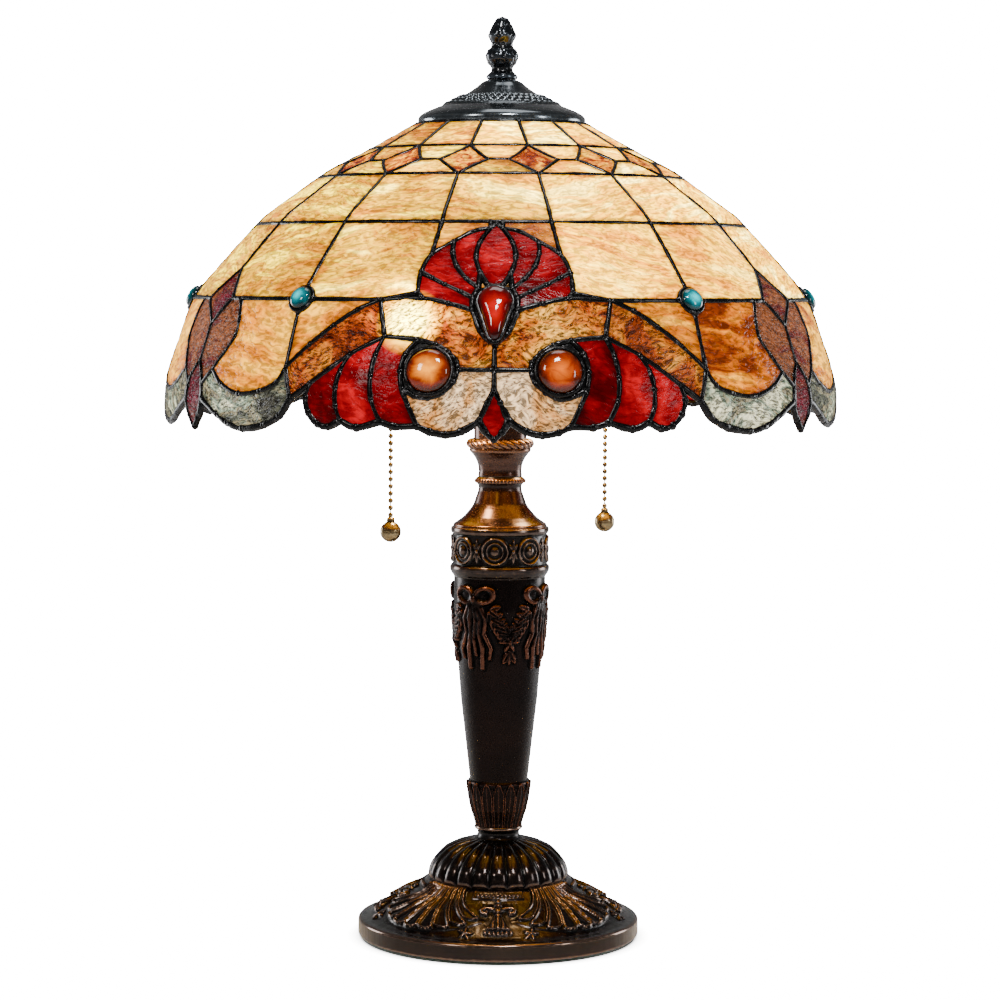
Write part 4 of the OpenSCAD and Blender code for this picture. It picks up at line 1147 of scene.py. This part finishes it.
def seam_lines(panes):
    """The outlines' edges, each once, cut where another pane's corner lies on it."""
    corners = {key_of(p) for _, outline in panes for p in outline}
    lines, uses = {}, {}
    for _, outline in panes:
        for p, q in zip(outline, outline[1:] + outline[:1], strict=True):
            chain = [key_of(p), key_of(q)]
            if len(between(p, q)) and tuple(chain) not in BENDS and tuple(back(chain)) not in BENDS:
                chain[1:1] = corners_on(p, q, corners)
            for a, b in zip(chain[:-1], chain[1:], strict=True):
                name = (min(a, b), max(a, b))
                uses[name] = uses.get(name, 0) + 1
                if name not in lines:
                    lines[name] = np.concatenate([[name[0]], between(*name), [name[1]]])
    return lines, uses


CROWN_WIDTH, SKIRT_WIDTH, RIM_WIDTH = 1.55, 1.85, 2.2
SEAM_LOW, SEAM_HALF_DEEP, BEAD_HALF_DEEP = -1.85, 2.1, 2.15
crown_seams, skirt_seams = Piece(), Piece()
junctions = {}


def seams_of(wide):
    """The piece that a seam of that half width belongs to."""
    return crown_seams if wide < SKIRT_WIDTH else skirt_seams


def sweep(line, shift, mirror, wide):
    """Adds the solder along one line and remembers its ends."""
    p = np.array(line, float)
    if mirror:
        p[:, 0] = -p[:, 0]
    p[:, 0] += shift
    points, normals = on_dome(p, SEAM_LOW)
    r = wide * (1 + 0.13 * waves(points, 11, 21) + 0.05 * waves(points, 3.5, 22))
    tube(seams_of(wide), points, r, 10, normals, flat=SEAM_HALF_DEEP / wide, wear=0.5)
    for i in (0, -1):
        junctions[tuple(np.round(points[i], 0))] = (points[i], normals[i], wide)


done = set()


def once(line, shift, mirror, wide):
    """Sweeps a line unless its copy already lies there."""
    ends = []
    for i in (0, len(line) // 2, -1):
        a = (-line[i][0] if mirror else line[i][0]) + shift
        ends.append((round(a % 360, 1) % 360, round(line[i][1], 1)))
    name = (min(ends[0], ends[2]), max(ends[0], ends[2]), ends[1] if len(line) > 2 else None)
    if name not in done:
        done.add(name)
        sweep(line, shift, mirror, wide)


column_lines, _ = seam_lines(COLUMN_PANES)
diamond_lines, _ = seam_lines([("diamonds", DIAMOND_PANE)])
for k in range(COLUMNS):
    for line in column_lines.values():
        once(line, COLUMN * k, False, CROWN_WIDTH)
    for line in diamond_lines.values():
        once(line, COLUMN * k + HALF_COLUMN, False, CROWN_WIDTH)
skirt_lines, skirt_uses = seam_lines(HALF_PANES + MOTIF_PANES)
RIM_FROM = 222
for name, line in skirt_lines.items():
    angles, downs = line[:, 0], line[:, 1]
    rim = skirt_uses[name] == 1 and downs.min() > RIM_FROM and angles.max() < MOTIF / 2 and angles.min() > 0.5
    for k in range(MOTIFS):
        for mirror in (False, True):
            once(line, MOTIF * k, mirror, RIM_WIDTH if rim else SKIRT_WIDTH)
for point, normal, wide in junctions.values():
    size = wide * rng.uniform(1.1, 1.3)
    ball(seams_of(wide), point + normal * 0.05, size, normal, BEAD_HALF_DEEP / size, 8, 12, wear=0.5)
BACKING_LOW = -1.1
HOLES = [
    [*C["arch"][1:], *C["under_eye"][1:], *back(C["eye"][:3])],
    [(36, GEMS - GEM_ROOM), (36 + GEM_HALF, GEMS), (36, GEMS + GEM_ROOM), (36 - GEM_HALF, GEMS)],
    [(0, 161.5), (1.2, 161), (3, 163), (3.9, 169.5), (3.9, 177), (2.4, 189), (0, 197.5)],
]
for hole in HOLES:
    places, faces, _, _ = pane_mesh(hole)
    for k in range(MOTIFS):
        for side in (-1, 1):
            points, normals = on_dome(places * [side, 1] + [MOTIF * k, 0], BACKING_LOW)
            lumps = 0.3 * waves(points, 5, 41)[:, None]
            skirt_seams.add(points + normals * lumps, [f[::side] for f in faces], wear=0.5)
crown_seams.build("crown_seams", "shade", "solder", solder, ("solder_crown",))
skirt_seams.build("skirt_seams", "shade", "solder", solder, ("solder_skirt",))

# ---- Jewels ----


def at_dome(a, m, shift):
    """Centre, outward normal, downward and sideways directions at a point of the shade."""
    points, normals = on_dome([(a + shift, m), (a + shift, m + 0.5)])
    down = points[1] - points[0]
    down /= np.linalg.norm(down)
    return points[0], normals[0], down, np.cross(down, normals[0])


def outline_dome(piece, place, outline, height, depth, lit):
    """A cushion-shaped jewel over an outline of (sideways, down) points."""
    centre, normal, down, side = place
    outline = np.asarray(outline, float)
    n = len(outline)
    t = np.linspace(0, 1, 14)
    shrink = np.cos(t * np.pi / 2) ** 0.9
    rise = np.sin(t * np.pi / 2) ** 0.9
    layers = [(1.0, -depth)] + [(s, h * height) for s, h in zip(shrink[:-1], rise[:-1], strict=True)]
    verts, rims = [], []
    middle = outline.mean(0)
    for s, h in layers:
        q = middle + (outline - middle) * s
        verts.append(centre + side * q[:, 0:1] + down * q[:, 1:2] + normal * h)
        rims.append(np.full(n, s))
    verts = np.concatenate([*verts, [centre + side * middle[0] + down * middle[1] + normal * height]])
    rims = np.concatenate([*rims, [0.0]])
    faces = grid_faces(len(layers), n) + [
        ((len(layers) - 1) * n + i, (len(layers) - 1) * n + (i + 1) % n, len(layers) * n) for i in range(n)
    ]
    first = faces[n * 3]
    out = np.cross(verts[first[1]] - verts[first[0]], verts[first[2]] - verts[first[0]])
    if out @ (verts[first[0]] - (centre - normal * 5)) < 0:
        faces = [tuple(f)[::-1] for f in faces]
    # Painted light: the glow is made brighter toward the jewel's lower side and dimmer toward its top.
    fall = (verts - centre) @ down / np.abs(outline[:, 1]).max()
    piece.add(verts, faces, flow=verts * MM, rim=rims, lit=lit * (1 + 0.4 * fall))


def circle(r, n=48):
    """Points of a circle about the origin."""
    t = np.arange(n) * 2 * np.pi / n
    return np.stack([r * np.cos(t), r * np.sin(t)], -1)


def teardrop(r, length, n=56):
    """A round top at the origin that narrows to a point length below it."""
    t = np.arange(n) * 2 * np.pi / n
    x, y = np.sin(t), -np.cos(t)
    pull = smoothstep(-0.1, 1, y)
    return np.stack([r * x * (1 - 0.42 * pull), r * y + (length - r) * pull**1.6], -1)


drops, eyes, gems, bezels = Piece(), Piece(), Piece(), Piece()
EYE_R, GEM_R, BEZEL_LOW = 12.5, 7.0, -1.0


def bezel(place, outline, wide=1.5):
    """Adds the solder round a jewel."""
    centre, normal, down, side = place
    outline = np.asarray(outline, float)
    points = centre + side * outline[:, 0:1] + down * outline[:, 1:2] + normal * BEZEL_LOW
    r = wide * (1 + 0.12 * waves(points, 6, 31))
    tube(bezels, points, r, 10, np.repeat(normal[None], len(points), 0), flat=1.15, closed=True, wear=0.5)


for k in range(MOTIFS):
    place = at_dome(0, 173, MOTIF * k)
    shape = teardrop(9.6, 22.5)
    outline_dome(drops, place, shape, 5.2, 2.0, 0.98)
    bezel(place, shape * 1.04)
    for s in (-1, 1):
        place = at_dome(10.3 * s, 212, MOTIF * k)
        near = k == 0 and s == -1
        outline_dome(eyes, place, circle(EYE_R - 0.4), 6.2, 1.6, 2.6 if near else 0.98)
        bezel(place, circle(EYE_R + 0.5))
        place = at_dome(36 * s, GEMS, MOTIF * k)
        outline_dome(gems, place, circle(GEM_R - 0.2, 36), 4.0, 1.4, 0.99)
        bezel(place, circle(GEM_R + 0.5, 36), 1.3)
drops.build("jewels_drop", "shade", "red_glass", red_jewel, ("jewel_drops",))
eyes.build("jewels_eye", "shade", "amber_glass", amber_jewel, ("jewel_eyes",))
gems.build("jewels_gem", "shade", "blue_glass", blue_jewel, ("jewel_gems",))
bezels.build("jewel_rims", "shade", "solder", solder, ("jewel_bezels",))

# ---- Cap and finial ----

cap_hi = box("shade_cap")[1]
cap_r = cap_hi[0]


def basketweave(a, r, z):
    """Three rows of crossed strands round the cap."""
    rows = (r - 23.4) / 3.7
    inside_band = smoothstep(22.6, 23.6, r) * smoothstep(35.2, 34.2, r)
    u = a / 360 * 42
    row = np.floor(rows)
    t = wrap(u + 0.5 * row, 1.0) * 2
    v = (rows - row - 0.5) * 2
    leafy = np.sqrt(np.clip(1 - t**2 - 0.75 * v**2, 0, 1)) * (1 - 0.35 * np.exp(-(((t - 0.5 * v) * 3) ** 2)))
    lines = 0.5 * np.exp(-(((r - 22.9) / 0.4) ** 2)) + 0.5 * np.exp(-(((r - 35) / 0.45) ** 2))
    return 1.5 * leafy * inside_band + lines


cap = Piece()
turned(cap, [
    (cap_r - 3, 490.2), (cap_r - 1.4, 489.6), (cap_r - 0.2, 490.2), (cap_r + 0.1, 491.8),
    (cap_r - 0.2, 493.6), (48.6, 495), (46.6, 496.4), (43.6, 497.8), (38.2, 500),
    (32, 502.2), (27.7, 504.6), (22.3, 507.2), (18.6, 509.6),
    (14.7, 512.4), (12, 514.8), (10, cap_hi[2] - 0.5), (8.8, cap_hi[2]), (5, cap_hi[2] + 0.05),
    (3.3, cap_hi[2]),
], 640, 0.42, basketweave, 0.9)
turned(cap, [
    (cap_r - 3, 490.2), (cap_r - 3, 492), (45.6, 494), (41, 496.4), (36, 498.8), (31, 501), (26.5, 503.4),
    (21, 506), (15.5, 508.6), (12, 509.6), (3.6, 509.4),
], 160, 1.5, None, 0.8)
cap.build("cap_spun", "shade", "dark_bronze", cap_bronze, ("shade_cap", "cap_filigree"))

fin_lo, fin_hi = box("finial")


def bud(a, r, z):
    """Swirled leaves on the bud, slanted leaves on the bulb, plain stem and collar between."""
    up = z - fin_lo[2]
    h = np.zeros_like(a)
    for low, high, count, slope, depth in ((8.0, 18.6, 9, 0.03, 0.85), (19.6, 37.0, 6, -0.02, 1.0)):
        span = smoothstep(low, low + 1.6, up) * smoothstep(high, high - 1.4, up)
        t = wrap(a / 360 * count + (up - low) * slope * 2.2, 1.0) * 2
        ridge = np.sqrt(np.clip(1 - (0.98 * t) ** 2, 0, 1)) - 0.45
        layer = wrap((up - low) / 5.2 + 0.5 * np.abs(t), 1.0)
        scale = smoothstep(-0.5, 0.4, layer) * smoothstep(0.5, 0.42, layer)
        h += span * depth * (0.75 * ridge + 0.35 * scale)
    return h


cast("finial_cast", "dark_bronze", dark_bronze, ("finial",), above(
    fin_lo[2], (3.4, 0), (8.6, 0), (9.4, 0.8), (9.4, 2), (8.4, 3.2), (6.6, 4.8), (6.3, 6.6), (7.2, 8),
    (8.3, 9.8), (9.2, 12), (9.4, 14.4), (8.6, 16.8), (6.7, 19.2), (6.1, 21.4), (7.0, 23.6), (7.9, 26),
    (7.4, 28), (6.2, 30), (5.3, 32), (3.9, 34.6), (2.0, 36.6),
) + [(0.2, fin_hi[2])], 300, 0.3, bud, 0.5, body="finial_knob")

# ---- Chains ----

BEAD_R, LINE_R, PITCH = 1.6, 0.45, 4.2


def groove(height):
    """The relief of a fine groove round the ball at that height."""
    return lambda a, r, z: -0.12 * np.exp(-(((z - height) / 0.25) ** 2))


for side in ("left", "right"):
    lo, hi = box(side + "_chain")
    link_lo, link_hi = box(side + "_chain_link")
    x, y = (lo[:2] + hi[:2]) / 2
    chain = Piece()
    ball_r = (hi[0] - lo[0]) / 2
    centre_z = lo[2] + ball_r
    turned(chain, [
        (0.05, lo[2]),
        *[(ball_r * math.cos(t), centre_z + ball_r * math.sin(t)) for t in np.linspace(-1.45, 1.1, 22)],
        (2.4, centre_z + ball_r * 0.93), (2.3, centre_z + ball_r + 1.6), (1.5, centre_z + ball_r + 2.3),
        (0.2, centre_z + ball_r + 2.5),
    ], 64, 0.35, groove(centre_z), 0.3, centre=(x, y))
    z = centre_z + ball_r + 3.6
    beads = int((hi[2] - 0.6 - z) / PITCH)
    pitch = (hi[2] - 1.8 - z) / beads
    for i in range(beads + 1):
        ball(chain, np.array([x, y, z + i * pitch]), BEAD_R, rings=9, sides=14, wear=0.55)
    tube(chain, [[x, y, t] for t in np.linspace(centre_z, hi[2], 40)], LINE_R, 6, wear=0.4)
    chain.build(side + "_beads", side + "_pull_chain", "chain_brass", chain_brass, (side + "_chain",))
    link = Piece()
    ball(link, np.array([x, y, link_lo[2] + BEAD_R]), BEAD_R, rings=9, sides=14, wear=0.55)
    tube(link, [[x, y, t] for t in np.linspace(link_lo[2] + BEAD_R, link_hi[2], 8)], 0.8, 8, wear=0.4)
    link.build(side + "_link_beads", side + "_link", "chain_brass", chain_brass, (side + "_chain_link",))
    lo, hi = box(side + "_bulb_glass")
    x, y = (lo[:2] + hi[:2]) / 2
    r = (hi[0] - lo[0]) / 2
    bulb = Piece()
    turned(bulb, [
        (0.1, lo[2]),
        *[(r * math.cos(t), lo[2] + r + r * math.sin(t)) for t in np.linspace(-1.5, 0.85, 26)],
        (12.8, lo[2] + r + 21.5), (12.6, lo[2] + r + 25), (12.6, hi[2] - 1),
    ], 64, 1.4, None, 1.0, centre=(x, y))
    bulb.build(side + "_bulb_lit", side + "_bulb", "bulb_glass", bulb_glass, (side + "_bulb_glass",))

# ---- CAD pieces that show as they are ----

SHOWN = {
    "felt_pad": felt, "cord_inlet": black_plastic, "threaded_rod": brass, "cluster_hub": brass,
    "cluster_arms": brass, "socket_caps": brass, "socket_shells": brass, "socket_threads": brass,
    "chain_guides": brass, "seat_nut": brass, "seat_washer": brass, "cap_ring": brass, "finial_insert": brass,
    "rod_washer": steel, "rod_nut": steel, "left_bulb_contact": steel, "left_bulb_cap": steel,
    "right_bulb_contact": steel, "right_bulb_cap": steel, "socket_liners": liner,
}
for node, look in SHOWN.items():
    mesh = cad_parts[node].data
    mesh.materials.clear()
    mesh.materials.append(look)

# ---- Floor, light and camera ----

stage_points, stage_faces = [], []
FLOOR_HALF, FLOOR_FRONT, WALL_AT, WALL_HIGH = 6.0, -4.0, 4.0, 5.0
profile = [(FLOOR_FRONT, 0.0), (0.0, 0.0), (WALL_AT - 1.0, 0.0)]
profile += [(WALL_AT - 1 + math.sin(t), 1 - math.cos(t)) for t in np.linspace(0.1, 1.57, 14)]
profile.append((WALL_AT, WALL_HIGH))
for y, z in profile:
    stage_points += [(-FLOOR_HALF, y, z - 0.0002), (FLOOR_HALF, y, z - 0.0002)]
for i in range(len(profile) - 1):
    stage_faces.append((2 * i, 2 * i + 1, 2 * i + 3, 2 * i + 2))
stage_mesh = bpy.data.meshes.new("floor")
stage_mesh.from_pydata(stage_points, [], stage_faces)
stage_mesh.shade_smooth()
look = Nodes("pale_floor")
seen = look.add("LightPath").outputs["Is Camera Ray"]
# Painted contact shadow: the floor's glow, seen only by the camera, is darkened by ambient occlusion near the
# lamp.
painted_shadow_factor = look.math("POWER", look.add("AmbientOcclusion", {"Distance": 0.07}).outputs["AO"], 2.2)
pale = look.ramp(look.noise(look.position(), 3, 3), (0.3, (0.86, 0.86, 0.86)), (0.7, (0.9, 0.9, 0.9)))
stage_mesh.materials.append(look.done({
    "Base Color": pale, "Roughness": 0.75, "Emission Color": (1, 1, 1, 1),
    "Emission Strength": look.times(look.times(seen, painted_shadow_factor), 26.0),
}))
floor = bpy.data.objects.new("floor", stage_mesh)
bpy.context.scene.collection.objects.link(floor)

world = bpy.data.worlds.new("studio")
world.use_nodes = True
sky = world.node_tree.nodes["Background"]
path = world.node_tree.nodes.new("ShaderNodeLightPath")
bright = world.node_tree.nodes.new("ShaderNodeMapRange")
bright.inputs["To Min"].default_value = 0.13
bright.inputs["To Max"].default_value = 30.0
world.node_tree.links.new(path.outputs["Is Camera Ray"], bright.inputs["Value"])
world.node_tree.links.new(bright.outputs[0], sky.inputs[1])
sky.inputs[0].default_value = (0.97, 0.985, 1.0, 1)
bpy.context.scene.world = world


def area_light(name, place, target, size, power, colour=(1, 1, 1)):
    light = bpy.data.lights.new(name, "AREA")
    light.shape, light.size, light.size_y = "RECTANGLE", size[0], size[1]
    light.energy, light.color = power, colour
    o = bpy.data.objects.new(name, light)
    o.location = place
    o.rotation_euler = (Vector(target) - Vector(place)).to_track_quat("-Z", "Y").to_euler()
    bpy.context.scene.collection.objects.link(o)
    return o


area_light("key", (-1.3, -1.5, 1.5), (0, 0, 0.3), (0.35, 0.45), 16, (1, 0.97, 0.93))
area_light("fill", (1.7, -1.1, 0.8), (0, 0, 0.25), (0.3, 0.6), 9, (0.95, 0.98, 1))
area_light("top", (0.1, 0.3, 2.0), (0, 0, 0.3), (0.8, 0.8), 9)
area_light("back_left", (-1.3, 0.75, 0.2), (0, 0, 0.15), (0.5, 0.9), 13, (0.96, 0.98, 1))
area_light("back_right", (1.35, 0.7, 0.2), (0, 0, 0.15), (0.5, 0.9), 13, (0.96, 0.98, 1))
area_light("cap_light", (0.15, -0.8, 1.3), (0, 0, 0.5), (0.2, 0.2), 14)
for (place, power), name in zip(BULBS, ("lamp_left", "lamp_right"), strict=True):
    light = bpy.data.lights.new(name, "POINT")
    light.energy, light.color, light.shadow_soft_size = 0.5 * power, (1, 0.74, 0.42), 0.012
    o = bpy.data.objects.new(name, light)
    o.location = Vector((place - [0, 0, 27]) * MM)
    bpy.context.scene.collection.objects.link(o)

CAMERA_AWAY, CAMERA_HIGH, AIM_HIGH, CAMERA_ROLL = 1.8, 0.3975, 0.265, 0.27
camera_data = bpy.data.cameras.new("camera")
camera_data.lens, camera_data.sensor_width = 107.8, 36
camera_data.clip_start, camera_data.clip_end = 0.05, 50
camera = bpy.data.objects.new("camera", camera_data)
camera.location = (0, -CAMERA_AWAY, CAMERA_HIGH)
aim = (Vector((0, 0, AIM_HIGH)) - camera.location).to_track_quat("-Z", "Y")
camera.rotation_mode = "QUATERNION"
camera.rotation_quaternion = aim @ Matrix.Rotation(math.radians(CAMERA_ROLL), 3, "Z").to_quaternion()
bpy.context.scene.collection.objects.link(camera)
bpy.context.scene.camera = camera
